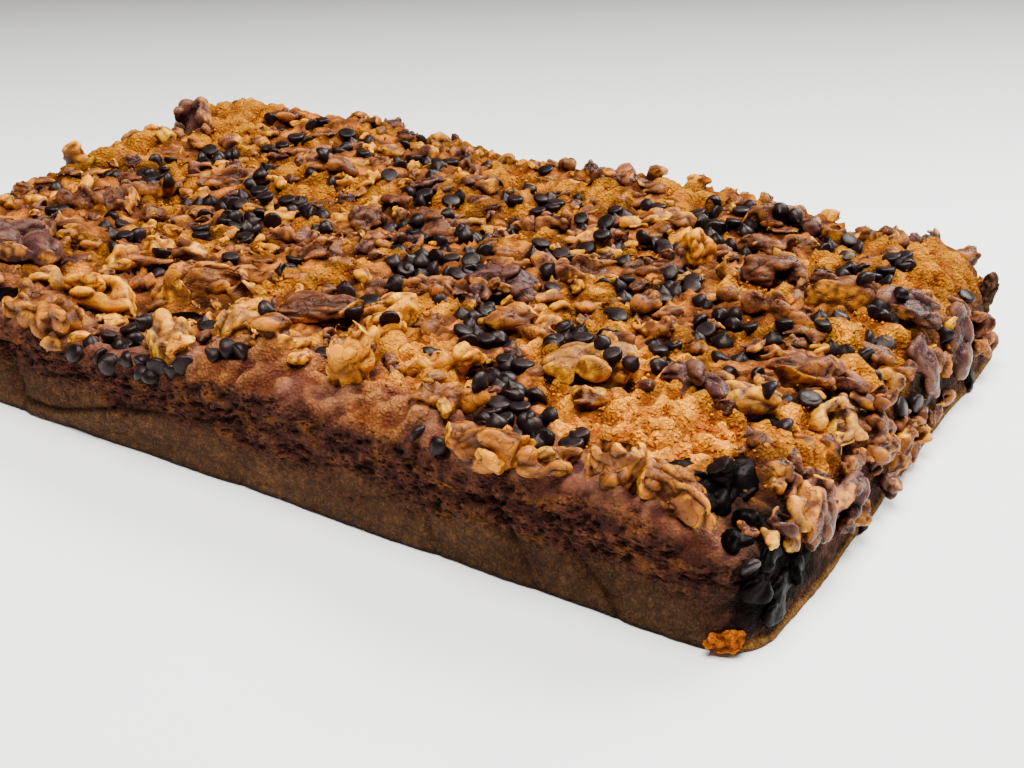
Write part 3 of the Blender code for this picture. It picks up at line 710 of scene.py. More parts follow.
def grid_lines(half, low_radius, high_radius, first, last):
    """Places from -half to half, close together where the top edge curves."""
    arc = 1 - np.cos(0.5 * math.pi * np.arange(EDGE_STEPS) / EDGE_STEPS)
    flat = graded(-half + low_radius, half - high_radius, first, last)
    return np.concatenate((-half + low_radius * arc, flat, half - high_radius * arc[::-1]))


def round_plan(x, y):
    """Move a point of the rectangle so that the corners in plan are round."""
    inset = min(HALF_LENGTH - abs(x), HALF_WIDTH - abs(y))
    radius = max(PLAN_CORNER * (1 - 2 * inset / WIDTH), 0.01)
    inner_x = max(HALF_LENGTH - inset - radius, 0)
    inner_y = max(HALF_WIDTH - inset - radius, 0)
    near_x = min(inner_x, max(-inner_x, x))
    near_y = min(inner_y, max(-inner_y, y))
    off = math.hypot(x - near_x, y - near_y)
    if off < 1e-9:
        return x, y
    return near_x + (x - near_x) * radius / off, near_y + (y - near_y) * radius / off


def edge_drop(x, y):
    """How far the rounded edge lies under the flat top."""
    radius = edge_radius(x, y)
    inset = min(HALF_LENGTH - abs(x), HALF_WIDTH - abs(y))
    out = 1 - min(1.0, max(0.0, inset / radius))
    return radius * (1 - math.sqrt(1 - out * out))


def top_height(x, y):
    """Height of the crust above the base at a place in plan."""
    rise = 0.0
    for place_x, place_y, radius, height in SWELLS:
        far = math.hypot(x - place_x, y - place_y) / radius
        rise += height * math.exp(-far * far)
    for length, height, place in CRUST_WAVES:
        rise += height * noise.noise(Vector((x / length, y / length, place)))
    inset = min(HALF_LENGTH - abs(x), HALF_WIDTH - abs(y))
    return HEIGHT + rise * mix(EDGE_SHARE, 1, smoothstep(0, EDGE_CALM, inset))


def side_relief(x, y, level):
    """How far a side point stands out: slow bulges and paper creases."""
    along, upward, depth = SIDE_WAVE
    out = depth * noise.noise(Vector((x / along, y / along, level / upward + 9.2)))
    if y < 0 and abs(x) < HALF_LENGTH - PLAN_CORNER / 2:
        for top_x, foot_x, depth in CREASES:
            crease_x = foot_x + (top_x - foot_x) * level / HEIGHT
            far = (x - crease_x) / CREASE_WIDTH
            fade = smoothstep(0, CREASE_FOOT, level) * (1 - CREASE_FADE * level / HEIGHT)
            out -= depth * math.exp(-far * far) * fade
    return out


def side_normal(x, y):
    """The level direction that points out of the side at an outline point."""
    inner_x = HALF_LENGTH - PLAN_CORNER
    inner_y = HALF_WIDTH - PLAN_CORNER
    off_x = x - min(inner_x, max(-inner_x, x))
    off_y = y - min(inner_y, max(-inner_y, y))
    off = math.hypot(off_x, off_y)
    return off_x / off, off_y / off


def lean_ends(places):
    """Lean the end walls inward as they rise."""
    share = smoothstep(HALF_LENGTH - EDGE_BLEND, HALF_LENGTH, abs(places[:, 0]))
    places[:, 0] -= np.sign(places[:, 0]) * END_LEAN * share * places[:, 2] / HEIGHT
    return places


def sponge_shape():
    """Places and faces of the sponge: a gridded top, rows down the sides and a base."""
    xs = grid_lines(HALF_LENGTH, END_EDGE, END_EDGE, CELL_LEFT, CELL_RIGHT)
    ys = grid_lines(HALF_WIDTH, FRONT_EDGE, BACK_EDGE, CELL_FRONT, CELL_BACK)
    places = []
    for x, y in itertools.product(xs, ys):
        plan_x, plan_y = round_plan(x, y)
        places.append((plan_x, plan_y, top_height(plan_x, plan_y) - edge_drop(x, y)))
    index = np.arange(len(places)).reshape(len(xs), len(ys))
    quads = np.stack((index[:-1, :-1], index[1:, :-1], index[1:, 1:], index[:-1, 1:]), axis=-1)
    faces = quads.reshape(-1, 4).tolist()
    rim = np.concatenate((index[:-1, 0], index[-1, :-1], index[:0:-1, -1], index[0, :0:-1])).tolist()
    upper = rim
    for row in range(SIDE_ROWS - 1, -1, -1):
        share = row / SIDE_ROWS
        lower = []
        for corner in rim:
            x, y, edge = places[corner]
            level = edge * share
            away_x, away_y = side_normal(x, y)
            out = side_relief(x, y, level) - (FOOT_INSET if row == 0 else 0)
            lower.append(len(places))
            places.append((x + away_x * out, y + away_y * out, level))
        for k, corner in enumerate(lower):
            after = (k + 1) % len(lower)
            faces.append((corner, lower[after], upper[after], upper[k]))
        upper = lower
    faces.append(upper[::-1])
    return lean_ends(np.array(places)), faces


def new_mesh(name, places, faces):
    data = bpy.data.meshes.new(name)
    data.from_pydata(np.array(places).tolist(), [], faces)
    data.update()
    return data


def put_in_scene(name, data):
    """An object of the given data, in the scene."""
    made = bpy.data.objects.new(name, data)
    bpy.context.scene.collection.objects.link(made)
    return made


def make_mesh(name, places, faces, colours=None):
    """A mesh object from places in millimetres, with a colour at each of them."""
    data = new_mesh(name, places * MM, faces)
    if colours is not None:
        add_colour(data, "paint", colours)
    data.shade_smooth()
    return put_in_scene(name, data)


def point_normals(places, faces):
    data = new_mesh("normals", places, faces)
    normals = np.zeros(len(places) * 3, np.float32)
    data.vertex_normals.foreach_get("vector", normals)
    bpy.data.meshes.remove(data)
    return normals.reshape(-1, 3).astype(float)


def patch_share(places, patches):
    """How much each place belongs to a bare patch of crumb, from 0 to 1."""
    ragged = 0.35 * wave(3, places / 9)
    share = np.zeros(len(places))
    for x, y, radius in patches:
        far = np.hypot(places[:, 0] - x, places[:, 1] - y) / radius
        share = np.maximum(share, smoothstep(1.25, 0.75, far + ragged))
    return share


def off_centre(footprint, x, y):
    """How far places lie from an oval footprint's middle, 1 at its edge."""
    middle_x, middle_y, half_length, half_width, turn = footprint
    off_x, off_y = x - middle_x, y - middle_y
    along = off_x * np.cos(turn) + off_y * np.sin(turn)
    across = off_y * np.cos(turn) - off_x * np.sin(turn)
    return np.hypot(along / half_length, across / half_width)


def nearness(places, footprints):
    """How closely toppings crowd round each place: about 1 beside one of them."""
    total = np.zeros(len(places))
    for oval in footprints:
        x, y, half_length, half_width, _ = oval
        reach = half_length + 3 * GAP_WIDTH
        close = np.nonzero((abs(places[:, 0] - x) < reach) & (abs(places[:, 1] - y) < reach))[0]
        gap = np.maximum(off_centre(oval, places[close, 0], places[close, 1]) - 0.9, 0) * half_width
        total[close] += np.exp(-(gap / GAP_WIDTH) ** 2)
    return total


def ledge_line(places):
    """How close each place of the front lies to the paper's fold, 1 on it, and
    whether it lies just under it."""
    along, levels = zip(*LEDGE)
    below = np.interp(places[:, 0], along, levels) - places[:, 2]
    within = smoothstep(along[0] - 4, along[0] + 4, places[:, 0])
    within *= smoothstep(along[-1] + 8, along[-1] - 8, places[:, 0])
    front = within * (places[:, 1] < 0)
    under = front * smoothstep(-0.5, 0.8, below) * smoothstep(9, 2, below)
    return front * np.exp(-(below / 0.8) ** 2), under


def crease_line(places):
    """How close each place of the front lies to a crease, 1 on it."""
    line = np.zeros(len(places))
    waver = 0.8 * wave(43, places / 9)
    for top_x, foot_x, depth in CREASES:
        crease_x = foot_x + (top_x - foot_x) * places[:, 2] / HEIGHT + waver
        line = np.maximum(line, min(1, depth / 2) * np.exp(-((places[:, 0] - crease_x) / 1.1) ** 2))
    return line * (places[:, 1] < 0) * smoothstep(HEIGHT, HEIGHT - 14, places[:, 2])


def top_looks(places, footprints, patches):
    """Relief, colour and looseness of the crumb on the top. Its colour holds painted shade in the hollows and
    round the toppings.
    """
    front = places[:, 1] + HALF_WIDTH
    crumb = patch_share(places, patches)
    puffs = billow(5, places / 10 + 0.3 * wave(4, places / 7)[:, None])
    lumps = wave(6, places / 4.2)
    grain, _ = cell_noise(8, places / 2.6)
    crumbs = smoothstep(0.8, 0.1, grain)
    clod, clod_mark = cell_noise(21, places / 7 + 0.3 * wave(7, places / 3.4)[:, None])
    clods = smoothstep(0.75, 0.3, clod)
    crowd = nearness(places, footprints)
    collar = smoothstep(0.3, 1.0, crowd) * smoothstep(1.9, 1.2, crowd)
    crevice = smoothstep(1.15, 2.0, crowd)
    mound = smoothstep(30, 8, front + 6 * wave(20, places / 15)) * (1 - 0.2 * crumb)
    gold = smoothstep(-0.15, 0.4, wave(17, places / 24) + 0.9 * crumb)
    loose = (1 - 0.5 * mound) * mix(0.35, 1.0, np.maximum(crumb, 0.8 * gold))
    fine_mesh = smoothstep(-120, 60, places[:, 0])
    relief = 2.4 * (puffs - 0.65) + 0.7 * lumps
    relief += loose * (4.0 * (clods - 0.45) + 0.8 * fine_mesh * (crumbs - 0.5))
    relief += COLLAR_RISE * collar - CREVICE_DEPTH * crevice

    # Lighter on the raised puffs, lumps and clods and darker between them: partly the crust's own tone,
    # partly painted light and shade.
    bright = smoothstep(-0.7, 0.6, 0.7 * lumps + 1.3 * (puffs - 0.6) + 0.8 * (clods - 0.4))
    far = np.hypot(places[:, 0] - HALF_LENGTH, front) / LENGTH
    golden = between(GOLDEN, bright) * mix(NEAR_GOLD, FAR_GOLD, smoothstep(0.1, 0.6, far))[:, None]
    top = tinted(between(BROWNED, bright), golden, gold)
    top = top * mix(0.88, 1.12, clod_mark)[:, None]
    # Painted shade: darker between the puffs, in the cracks between clods, close to a topping and where
    # toppings crowd.
    hollow_shade = smoothstep(0.45, 0.1, puffs) * (1 - 0.5 * crumb)
    contact_shade = smoothstep(0.5, 1.05, crowd) * (1 - 0.5 * crumb)
    top = toned(top, PAINTED_CRACK_SHADE, 0.7 * smoothstep(0.5, 0.0, clods) * loose)
    top = toned(top, PAINTED_HOLLOW_SHADE, 0.7 * hollow_shade)
    top = toned(top, PAINTED_CONTACT_SHADE, 0.7 * contact_shade)
    top = toned(top, PAINTED_CREVICE_SHADE, 0.85 * crevice * (1 - 0.7 * crumb))

    warm = smoothstep(0.1, 0.5, wave(44, places / 11))
    crust = toned(between(CRUST, bright), WARM_CRUST_TONE, 0.25 * warm)
    at_front = smoothstep(8, 1, front + 3 * wave(57, places / 12))
    crust = tinted(crust, between(CRUST_FRONT, bright), 0.7 * at_front)
    return relief, tinted(top, crust, 0.92 * mound), loose


def wall_looks(places, normals):
    """Relief and colour of the sides, and how much they belong to the pored band."""
    level = places[:, 2]
    pore, keep = cell_noise(12, places / (3.8, 3.8, 1.9))
    tear, torn = cell_noise(46, places / (8.5, 8.5, 3.6) + 0.2 * wave(45, places / 3)[:, None])
    band = smoothstep(9, 22, level + 6 * wave(13, places / (18, 18, 9)))
    pits = smoothstep(0.5, 0.25, pore) * (keep > 0.45) * band
    pits = np.maximum(pits, smoothstep(0.42, 0.25, tear) * (torn > 0.55) * band)
    fine = wave(14, places / 2.2)
    rolls = wave(16, places / (12, 12, 4.5))
    ragged = billow(19, places / (8, 8, 3.4)) - 0.6
    lip = np.exp(-((level - HEIGHT + 4) / 5) ** 2) * (1.0 + 1.6 * wave(15, places / 10))
    fold, below_fold = ledge_line(places)
    crease = crease_line(places)
    right_end = smoothstep(0.2, 0.6, normals[:, 0])
    rim = smoothstep(2.8, 1.8, level + 1.2 * wave(48, places / 7)) * right_end

    relief = 0.2 * fine + mix(0.3, 1.1, band) * rolls + band * 1.1 * ragged - 1.4 * pits + lip
    relief += LEDGE_DEPTH * below_fold - 0.8 * fold - 0.6 * crease + 0.9 * rim

    upper = between(UPPER_WALL, smoothstep(-0.7, 0.9, fine + 1.4 * ragged + 0.4 * rolls))
    upper = toned(upper, WALL_GOLD_TONE, 0.5 * smoothstep(0.25, 0.6, wave(50, places / (9, 9, 5))))
    # Painted shade in the pits of the band.
    upper = toned(upper, PAINTED_PIT_SHADE, 0.88 * pits)
    streak = 0.5 * wave(51, places / (3.2, 3.2, 9)) + 0.8 * fine + 0.5 * wave(55, places / 1.2)
    lower = between(LOWER_WALL, smoothstep(-0.9, 0.9, streak))
    spots = smoothstep(-0.2, 0.4, wave(52, places / (26, 26, 12)))
    lower = toned(lower, WALL_SPOT_TONE, 0.4 * spots)
    # Painted shade: the lower front darkens towards its near right end.
    lower = lower * mix(1, NEAR_PAINTED_SHADE, smoothstep(40, 160, places[:, 0]))[:, None]
    wall = tinted(lower, upper, band)
    # Painted shadow along the foot, where the wall meets the floor.
    wall = toned(wall, PAINTED_FOOT_SHADOW, smoothstep(2.5, 0, level) * 0.7)
    # Painted shade along the paper's fold and down the creases.
    wall = toned(wall, PAINTED_FOLD_SHADE, (0.85 * fold + 0.6 * crease).clip(0, 1))
    wall = tinted(wall, between(END_WALL, smoothstep(-0.6, 0.8, fine + rolls)), 0.85 * right_end)
    return relief, toned(wall, RIM_TONE, 0.8 * rim), band


def sponge_looks(places, normals, footprints, patches):
    """Fine relief, colour and zones of the sponge at every place."""
    level = places[:, 2]
    side = smoothstep(0.72, 0.3, normals[:, 2]) * smoothstep(HEIGHT + 4, HEIGHT - 6, level)
    top_relief, top, loose = top_looks(places, footprints, patches)
    wall_relief, wall, band = wall_looks(places, normals)
    relief = mix(top_relief, wall_relief, side)
    smear_x, smear_y = SMEAR_PLACE
    from_smear = np.hypot(places[:, 0] - smear_x, places[:, 1] - smear_y) + 8 * wave(47, places / 12)
    smeared = smoothstep(*SMEAR_REACH, from_smear) * smoothstep(3, 7, level)
    relief += 1.6 * smeared * wave(49, places / 6)
    relief[level < 0.3] = 0
    burnt = between(BURNT, smoothstep(0.1, 0.8, wave(58, places / 3)))
    colours = tinted(tinted(top, wall, side), burnt, 0.95 * smeared)
    return relief, colours, np.stack((loose * (1 - side), side * band, side), axis=1)


def add_colour(data, name, colours):
    """A colour for every corner point of a mesh."""
    layer = data.color_attributes.new(name, 'FLOAT_COLOR', 'POINT')
    full = np.ones((len(colours), 4), np.float32)
    full[:, :3] = colours
    layer.data.foreach_set("color", full.ravel())


def make_sponge(places, faces, footprints, patches):
    """The sponge with its fine relief, risen round the foot of each topping."""
    relief, colours, zones = sponge_looks(places, point_normals(places, faces), footprints, patches)
    places = places + point_normals(places, faces) * relief[:, None]
    places[:, 2] = np.maximum(places[:, 2], 0)
    made = make_mesh("sponge", places, faces, colours)
    add_colour(made.data, "zones", zones)
    return made


def axes_frame(along, up, place):
    """A frame from two of its axes and its origin."""
    made = Matrix((along, up.cross(along), up)).transposed().to_4x4()
    made.translation = place
    return made


def surface_frame(tree, start, direction, turn):
    """A frame on the sponge where a ray meets it, with Z half way to its normal. The
    turn is from +X on the top and from +Y on the end."""
    point, normal, _, _ = tree.ray_cast(start * MM, direction)
    up = (normal - direction).normalized()
    level = Vector((1, 0, 0)) if direction == DOWN else Vector((0, 1, 0))
    along = Matrix.Rotation(math.radians(turn), 3, up) @ level
    along = (along - up * along.dot(up)).normalized()
    return axes_frame(along, up, point / MM)


def top_frame(tree, x, y, turn=0):
    """A frame on the top, at a place in plan."""
    return surface_frame(tree, Vector((x, y, 3 * HEIGHT)), DOWN, turn)


def end_frame(tree, y, level, turn):
    """A frame on the right end, at a place across and above the base."""
    return surface_frame(tree, Vector((LENGTH, y, level)), INWARD, turn)


def on_level(here):
    """Whether a frame stands on the top, not on a side."""
    return here.col[2].z > LEVEL_RISE


def moved(places, matrix):
    """Places moved by a 4 by 4 matrix."""
    grid = np.array(matrix)
    return places @ grid[:3, :3].T + grid[:3, 3]


def camera_axes():
    """The directions in which the photo's camera looks forward, right and up."""
    azimuth = math.radians(CAMERA_AZIMUTH)
    pitch = math.radians(CAMERA_PITCH)
    level = Vector((-math.sin(azimuth), math.cos(azimuth), 0))
    forward = level * math.cos(pitch) + DOWN * math.sin(pitch)
    right = Vector((math.cos(azimuth), math.sin(azimuth), 0))
    return forward, right, right.cross(forward)


def seen_frame(tree, column, row, lift, turn=0):
    """A frame on the sponge for a piece whose middle, which stands a lift above
    the sponge, is at a column and row of the photo. The turn is from the
    picture's level."""
    forward, right, up = camera_axes()
    sideways = (column - FRAME_WIDTH / 2) / FOCAL_PIXELS
    downward = (row - FRAME_HEIGHT / 2) / FOCAL_PIXELS
    way = (forward + right * sideways - up * downward).normalized()
    point, normal, _, _ = tree.ray_cast(Vector(CAMERA_PLACE) * MM, way)
    if point is None:
        return None
    point /= MM
    if normal.z > LEVEL_RISE:
        under = point + way * (lift / way.z)
        x = min(HALF_LENGTH - END_LEAN - 1, max(1 - HALF_LENGTH, under.x))
        y = min(HALF_WIDTH - 2, max(2 - HALF_WIDTH, under.y))
        return top_frame(tree, x, y, CAMERA_AZIMUTH + turn)
    level = Vector((0, 0, 1)).cross(normal).normalized()
    return axes_frame(Matrix.Rotation(math.radians(turn), 3, normal) @ level, normal, point)


def footprint(here, length, width):
    """The oval that a piece covers in plan."""
    along = here.col[0]
    turn = math.atan2(along.y, along.x)
    return here.translation.x, here.translation.y, OVAL_SHARE * length, OVAL_SHARE * width, turn


def footprints(rows):
    """The ovals of the pieces that lie on the top."""
    return [footprint(here, size[0], size[1]) for here, size, _, _ in rows if on_level(here)]


# Walnut pieces. Each shape is a set of balls in a box from -1 to 1: centre,
# radii and turn about Z.
def jitter(draw, amount):
    return draw.uniform(-amount, amount)


def rod_balls(draw):
    """Two rows of lobes with a furrow between them."""
    count = draw.randint(4, 5)
    balls = [((0, 0, -0.25), (0.85, 0.42, 0.55), 0)]
    for row in (-1, 1):
        for k in range(count):
            along = mix(-0.78, 0.78, k / (count - 1)) + jitter(draw, 0.1)
            taper = 1 - 0.4 * abs(along) ** 2 - draw.uniform(0, 0.15)
            centre = (along, row * 0.45 * taper + jitter(draw, 0.12), jitter(draw, 0.25))
            radii = (1.2 / count * draw.uniform(0.7, 1.15), 0.46 * taper,
                     0.72 * taper * draw.uniform(0.7, 1.1))
            balls.append((centre, radii, jitter(draw, 0.6)))
    return balls


def hook_balls(draw):
    """A thick bent lobe, open on one side."""
    reach = draw.uniform(1.5, 2.2)
    count = 9
    balls = []
    for k in range(count):
        angle = mix(-reach, reach, k / (count - 1))
        thick = 0.36 * (1 - 0.25 * abs(k / (count - 1) - 0.5)) * draw.uniform(0.75, 1.2)
        centre = (0.62 * math.cos(angle), 0.62 * math.sin(angle), jitter(draw, 0.25))
        balls.append((centre, (thick, thick * 1.1, thick * 1.9), angle))
    return balls


def lump_balls(draw):
    """An uneven mass of a few large lobes with gaps between them."""
    balls = [((0, 0, -0.25), (0.6, 0.55, 0.5), 0)]
    for _ in range(7):
        way = Vector((draw.gauss(0, 1), draw.gauss(0, 1), abs(draw.gauss(0.2, 0.7)))).normalized()
        size = draw.uniform(0.26, 0.52)
        centre = way * (1.02 - size)
        radii = (size * draw.uniform(0.9, 1.6), size * draw.uniform(0.6, 0.9), size * draw.uniform(0.7, 1.1))
        balls.append((tuple(centre), radii, draw.uniform(0, math.pi)))
    return balls


def fan_balls(draw):
    """Ribs that spread from a hub to a scalloped rim."""
    balls = [((-0.35, 0, -0.2), (0.6, 0.7, 0.5), 0)]
    count = 5
    for k in range(count):
        angle = mix(-1.25, 1.25, k / (count - 1)) + jitter(draw, 0.12)
        reach = draw.uniform(0.85, 1.1)
        centre = (-0.65 + 0.85 * math.cos(angle), 0.62 * math.sin(angle), 0.05 + jitter(draw, 0.15))
        balls.append((centre, (0.62, 0.24, 0.62), angle))
        tip = (-0.65 + 1.4 * reach * math.cos(angle), 0.84 * math.sin(angle), -0.05 + jitter(draw, 0.25))
        balls.append((tip, (0.2, 0.2, 0.4), angle))
    return balls


def cup_balls(draw):
    """A hollow ring of lobes round a dip, lower on one side."""
    balls = [((0, 0, -0.45), (0.66, 0.66, 0.5), 0)]
    count = 7
    for k in range(count):
        angle = 2 * math.pi * k / count
        rise = 0.1 + 0.35 * math.cos(angle) + jitter(draw, 0.2)
        centre = (0.68 * math.cos(angle), 0.68 * math.sin(angle), rise)
        balls.append((centre, (0.2, 0.36, draw.uniform(0.35, 0.6)), angle))
    return balls


def block_balls(draw):
    """An angular broken piece, from flattened balls turned at random."""
    balls = []
    for _ in range(5):
        centre = (jitter(draw, 0.4), jitter(draw, 0.4), jitter(draw, 0.4))
        radii = (draw.uniform(0.5, 0.8), draw.uniform(0.28, 0.5), draw.uniform(0.4, 0.75))
        balls.append((centre, radii, draw.uniform(0, math.pi)))
    return balls


def knob_balls(draw):
    """A rounded end with a soft dent."""
    return [
        ((jitter(draw, 0.15), jitter(draw, 0.15), 0), (0.8, 0.75, 0.85), 0),
        ((0.3, jitter(draw, 0.4), 0.1), (0.6, 0.5, 0.6), 0),
        ((-0.4, jitter(draw, 0.4), -0.2), (0.5, 0.6, 0.5), 0),
    ]


def melt_balls(draw):
    """A flat uneven puddle with a few lumps."""
    balls = [((0, 0, -0.3), (0.95, 0.8, 0.55), 0)]
    for _ in range(4):
        centre = (jitter(draw, 0.6), jitter(draw, 0.6), jitter(draw, 0.2))
        radii = (draw.uniform(0.3, 0.5), draw.uniform(0.25, 0.4), draw.uniform(0.4, 0.7))
        balls.append((centre, radii, draw.uniform(0, math.pi)))
    return balls


SHAPES = {
    "knob": knob_balls,
    "melt": melt_balls,
    "rod": rod_balls,
    "hook": hook_balls,
    "lump": lump_balls,
    "fan": fan_balls,
    "cup": cup_balls,
    "block": block_balls,
}

# Skins: the tones of the furrows, the flanks and the crests, the broken flesh,
# and how much of the piece is broken. The dark furrows and light crests are partly
# the skin's own tones, partly painted shade and painted highlight.
SKINS = {
    "amber": ((84, 34, 12), (148, 84, 42), (208, 136, 66), (246, 194, 96), 0.45),
    "yellow": ((120, 60, 14), (200, 130, 48), (238, 174, 70), (252, 206, 100), 0.8),
    "cream": ((90, 46, 22), (172, 110, 60), (226, 166, 92), (250, 212, 132), 0.65),
    "tan": ((66, 28, 14), (130, 74, 44), (190, 120, 68), (240, 184, 104), 0.35),
    "brown": ((52, 21, 12), (108, 58, 36), (166, 100, 62), (226, 164, 92), 0.25),
    "pink": ((64, 30, 20), (134, 76, 52), (194, 126, 82), (234, 174, 108), 0.3),
    "purple": ((42, 18, 15), (94, 54, 45), (150, 96, 76), (212, 150, 96), 0.18),
    "melt": ((2, 1, 1), (6, 4, 3), (14, 9, 7), (10, 6, 5), 0.0),
    "dark": ((4, 2, 2), (11, 7, 6), (30, 19, 15), (44, 27, 20), 0.05),
}

# Where the broken sides of a piece are cut, as shares of its reach that way, and how
# flat they are
BREAK_REACHES = (0.62, 0.85)
BREAK_FLATNESS = 0.9

# How much longer than wide the ridges are: along a piece, across and upward
RIDGE_STRETCH = (2.6, 0.9, 0.9)

# Painted shade at the foot of a piece: how much red, green and blue is left there
FOOT_PAINTED_SHADE = (0.42, 0.33, 0.26)


def remeshed(balls, size, voxel, smoothing):
    """Places and faces of the one body that overlapping balls make."""
    shape = bmesh.new()
    box = Matrix.Diagonal((*(edge / 2 for edge in size), 1))
    for centre, radii, turn in balls:
        made = bmesh.ops.create_icosphere(shape, subdivisions=2, radius=1)
        spin = Matrix.Rotation(turn, 4, 'Z')
        move = box @ Matrix.Translation(centre) @ spin @ Matrix.Diagonal((*radii, 1))
        bmesh.ops.transform(shape, matrix=move, verts=made["verts"])
    data = bpy.data.meshes.new("lobes")
    shape.to_mesh(data)
    shape.free()
    holder = put_in_scene("lobes", data)
    remesh = holder.modifiers.new("remesh", 'REMESH')
    remesh.mode = 'VOXEL'
    remesh.voxel_size = voxel
    smooth = holder.modifiers.new("smooth", 'SMOOTH')
    smooth.factor = 0.5
    smooth.iterations = smoothing
    result = bpy.data.meshes.new_from_object(holder.evaluated_get(bpy.context.evaluated_depsgraph_get()))
    places = np.zeros(len(result.vertices) * 3, np.float32)
    result.vertices.foreach_get("co", places)
    faces = [list(face.vertices) for face in result.polygons]
    bpy.data.objects.remove(holder)
    bpy.data.meshes.remove(data)
    bpy.data.meshes.remove(result)
    return places.reshape(-1, 3).astype(float), faces


def fitted(places, size):
    """Places stretched to fill a box of a given size about the origin."""
    low = places.min(axis=0)
    high = places.max(axis=0)
    return ((places - (low + high) / 2) / (high - low)) * size


def broken_faces(places, draw, share):
    """Flatten a few sides of a piece, and say how much each place was moved."""
    broken = np.zeros(len(places))
    for _ in range(1 + round(3 * share)):
        way = Vector((draw.gauss(0, 1), draw.gauss(0, 1), draw.gauss(0.1, 0.6))).normalized()
        way = np.array(way)
        over = places @ way - (places @ way).max() * draw.uniform(*BREAK_REACHES)
        places = places - np.maximum(over, 0)[:, None] * way * BREAK_FLATNESS
        broken = np.maximum(broken, smoothstep(0.0, 0.5, over))
    return places, broken


def hollows(places, faces, normals, rounds):
    """How far each place lies under the mean of the surface round it, as a share
    of what is usual on the piece: above 0 in furrows and below 0 on ridges."""
    corners = np.array(faces)
    after = np.roll(corners, -1, axis=1)
    starts = np.concatenate((corners.ravel(), after.ravel()))
    ends = np.concatenate((after.ravel(), corners.ravel()))
    counts = np.bincount(starts, minlength=len(places))[:, None]
    around = places
    for _ in range(rounds):
        sums = [np.bincount(starts, around[ends, axis], len(places)) for axis in range(3)]
        around = np.stack(sums, axis=1) / counts
    depth = ((around - places) * normals).sum(axis=1)
    return (depth - depth.mean()) / (depth.std() + 1e-9)


def kernel(shape, skin, size, seed, voxel, lobe, smoothing=3):
    """Places, faces and colours of one walnut piece, about its own middle. A lobe is
    the width of its main ridges."""
    draw = random.Random(seed)
    *tones, share = SKINS[skin]
    furrow, flank, crest, flesh = (paint(*tone) for tone in tones)
    places, faces = remeshed(SHAPES[shape](draw), size, voxel, smoothing)
    places, broken = broken_faces(places, draw, share)
    places = fitted(places, size)
    spots = places + seed * 7.3
    warp = np.stack([wave(number, spots / lobe) for number in (37, 38, 39)], axis=1)
    curled = (spots + 0.4 * lobe * warp) / RIDGE_STRETCH
    ridge = billow(31, curled / (1.1 * lobe))
    fold = billow(32, curled / (0.45 * lobe))
    wrinkle = billow(40, spots / 1.9)
    ripple = wave(33, spots / 1.3)
    rough = wave(34, spots / 2.4)
    skin_lift = (0.28 * lobe * (ridge - 0.62) + 0.07 * lobe * (fold - 0.6)
                 + 0.1 * (wrinkle - 0.6) + 0.04 * ripple)
    flesh_lift = 0.35 * rough + 0.1 * ripple
    lift = mix(skin_lift, flesh_lift, 0.75 * broken)
    places = fitted(places + point_normals(places, faces) * lift[:, None], size)

    normals = point_normals(places, faces)
    narrow = hollows(places, faces, normals, 3)
    wide = hollows(places, faces, normals, 12)
    height = 0.55 * ridge + 0.3 * fold - 0.1 * wide - 0.06 * narrow + 0.08 * wave(35, spots / 8)
    # Darker in the hollows and lighter on the crests: partly the skin's own tones, partly painted shade and
    # painted highlight.
    colour = tinted(furrow, flank, smoothstep(0.12, 0.38, height))
    colour = tinted(colour, crest, smoothstep(0.48, 0.9, height))
    patches = wave(36, spots / 7) + 0.55 * wave(42, spots / 2.6)
    torn = smoothstep(mix(0.75, -0.35, share), mix(0.9, -0.15, share), patches)
    bare = np.maximum(broken * smoothstep(-0.5, 0.1, patches), 0.35 * torn * smoothstep(0.25, 0.5, height))
    colour = tinted(colour, tinted(crest * 0.75, flesh, smoothstep(-0.5, 0.4, rough + 0.5 * ripple)), bare)
    # Narrow furrows darkened further: partly the skin's darker tone there, partly painted shade.
    colour = tinted(colour, furrow, 0.75 * smoothstep(0.9, 2.2, narrow))
    stain = smoothstep(0.05, 0.55, wave(56, spots / 9))
    colour = tinted(colour, flank * 0.75, 0.35 * stain * (1 - bare))
    # Painted shade: each piece darkens towards its foot.
    foot = smoothstep(-0.42, 0.08, places[:, 2] / size[2])
    return places, faces, tinted(colour * FOOT_PAINTED_SHADE, colour, foot)


def joined(name, parts):
    """One object from many parts, each with places, faces and colours."""
    all_faces = []
    start = 0
    for places, faces, _ in parts:
        all_faces.extend([corner + start for corner in face] for face in faces)
        start += len(places)
    all_places = np.concatenate([places for places, _, _ in parts])
    return make_mesh(name, all_places, all_faces, np.concatenate([colours for _, _, colours in parts]))


def kernel_rows(tree):
    """The frame, size, shape and skin of every large walnut piece."""
    rows = [(top_frame(tree, x, y, turn), size, shape, skin)
            for x, y, *size, turn, shape, skin in WALNUTS]
    rows += [(end_frame(tree, y, level, turn), size, shape, skin)
             for y, level, *size, turn, shape, skin in END_WALNUTS]
    return rows


def far_share(here):
    """How far a frame lies from the near corner, from 0 to 1."""
    x, y, _ = here.translation
    return min(1, math.hypot(x - HALF_LENGTH, y + HALF_WIDTH) / FAR_REACH)


def lobe_width(lobes, size):
    """How wide the main ridges of a piece are."""
    always, growth = lobes
    return always + growth * size[0]


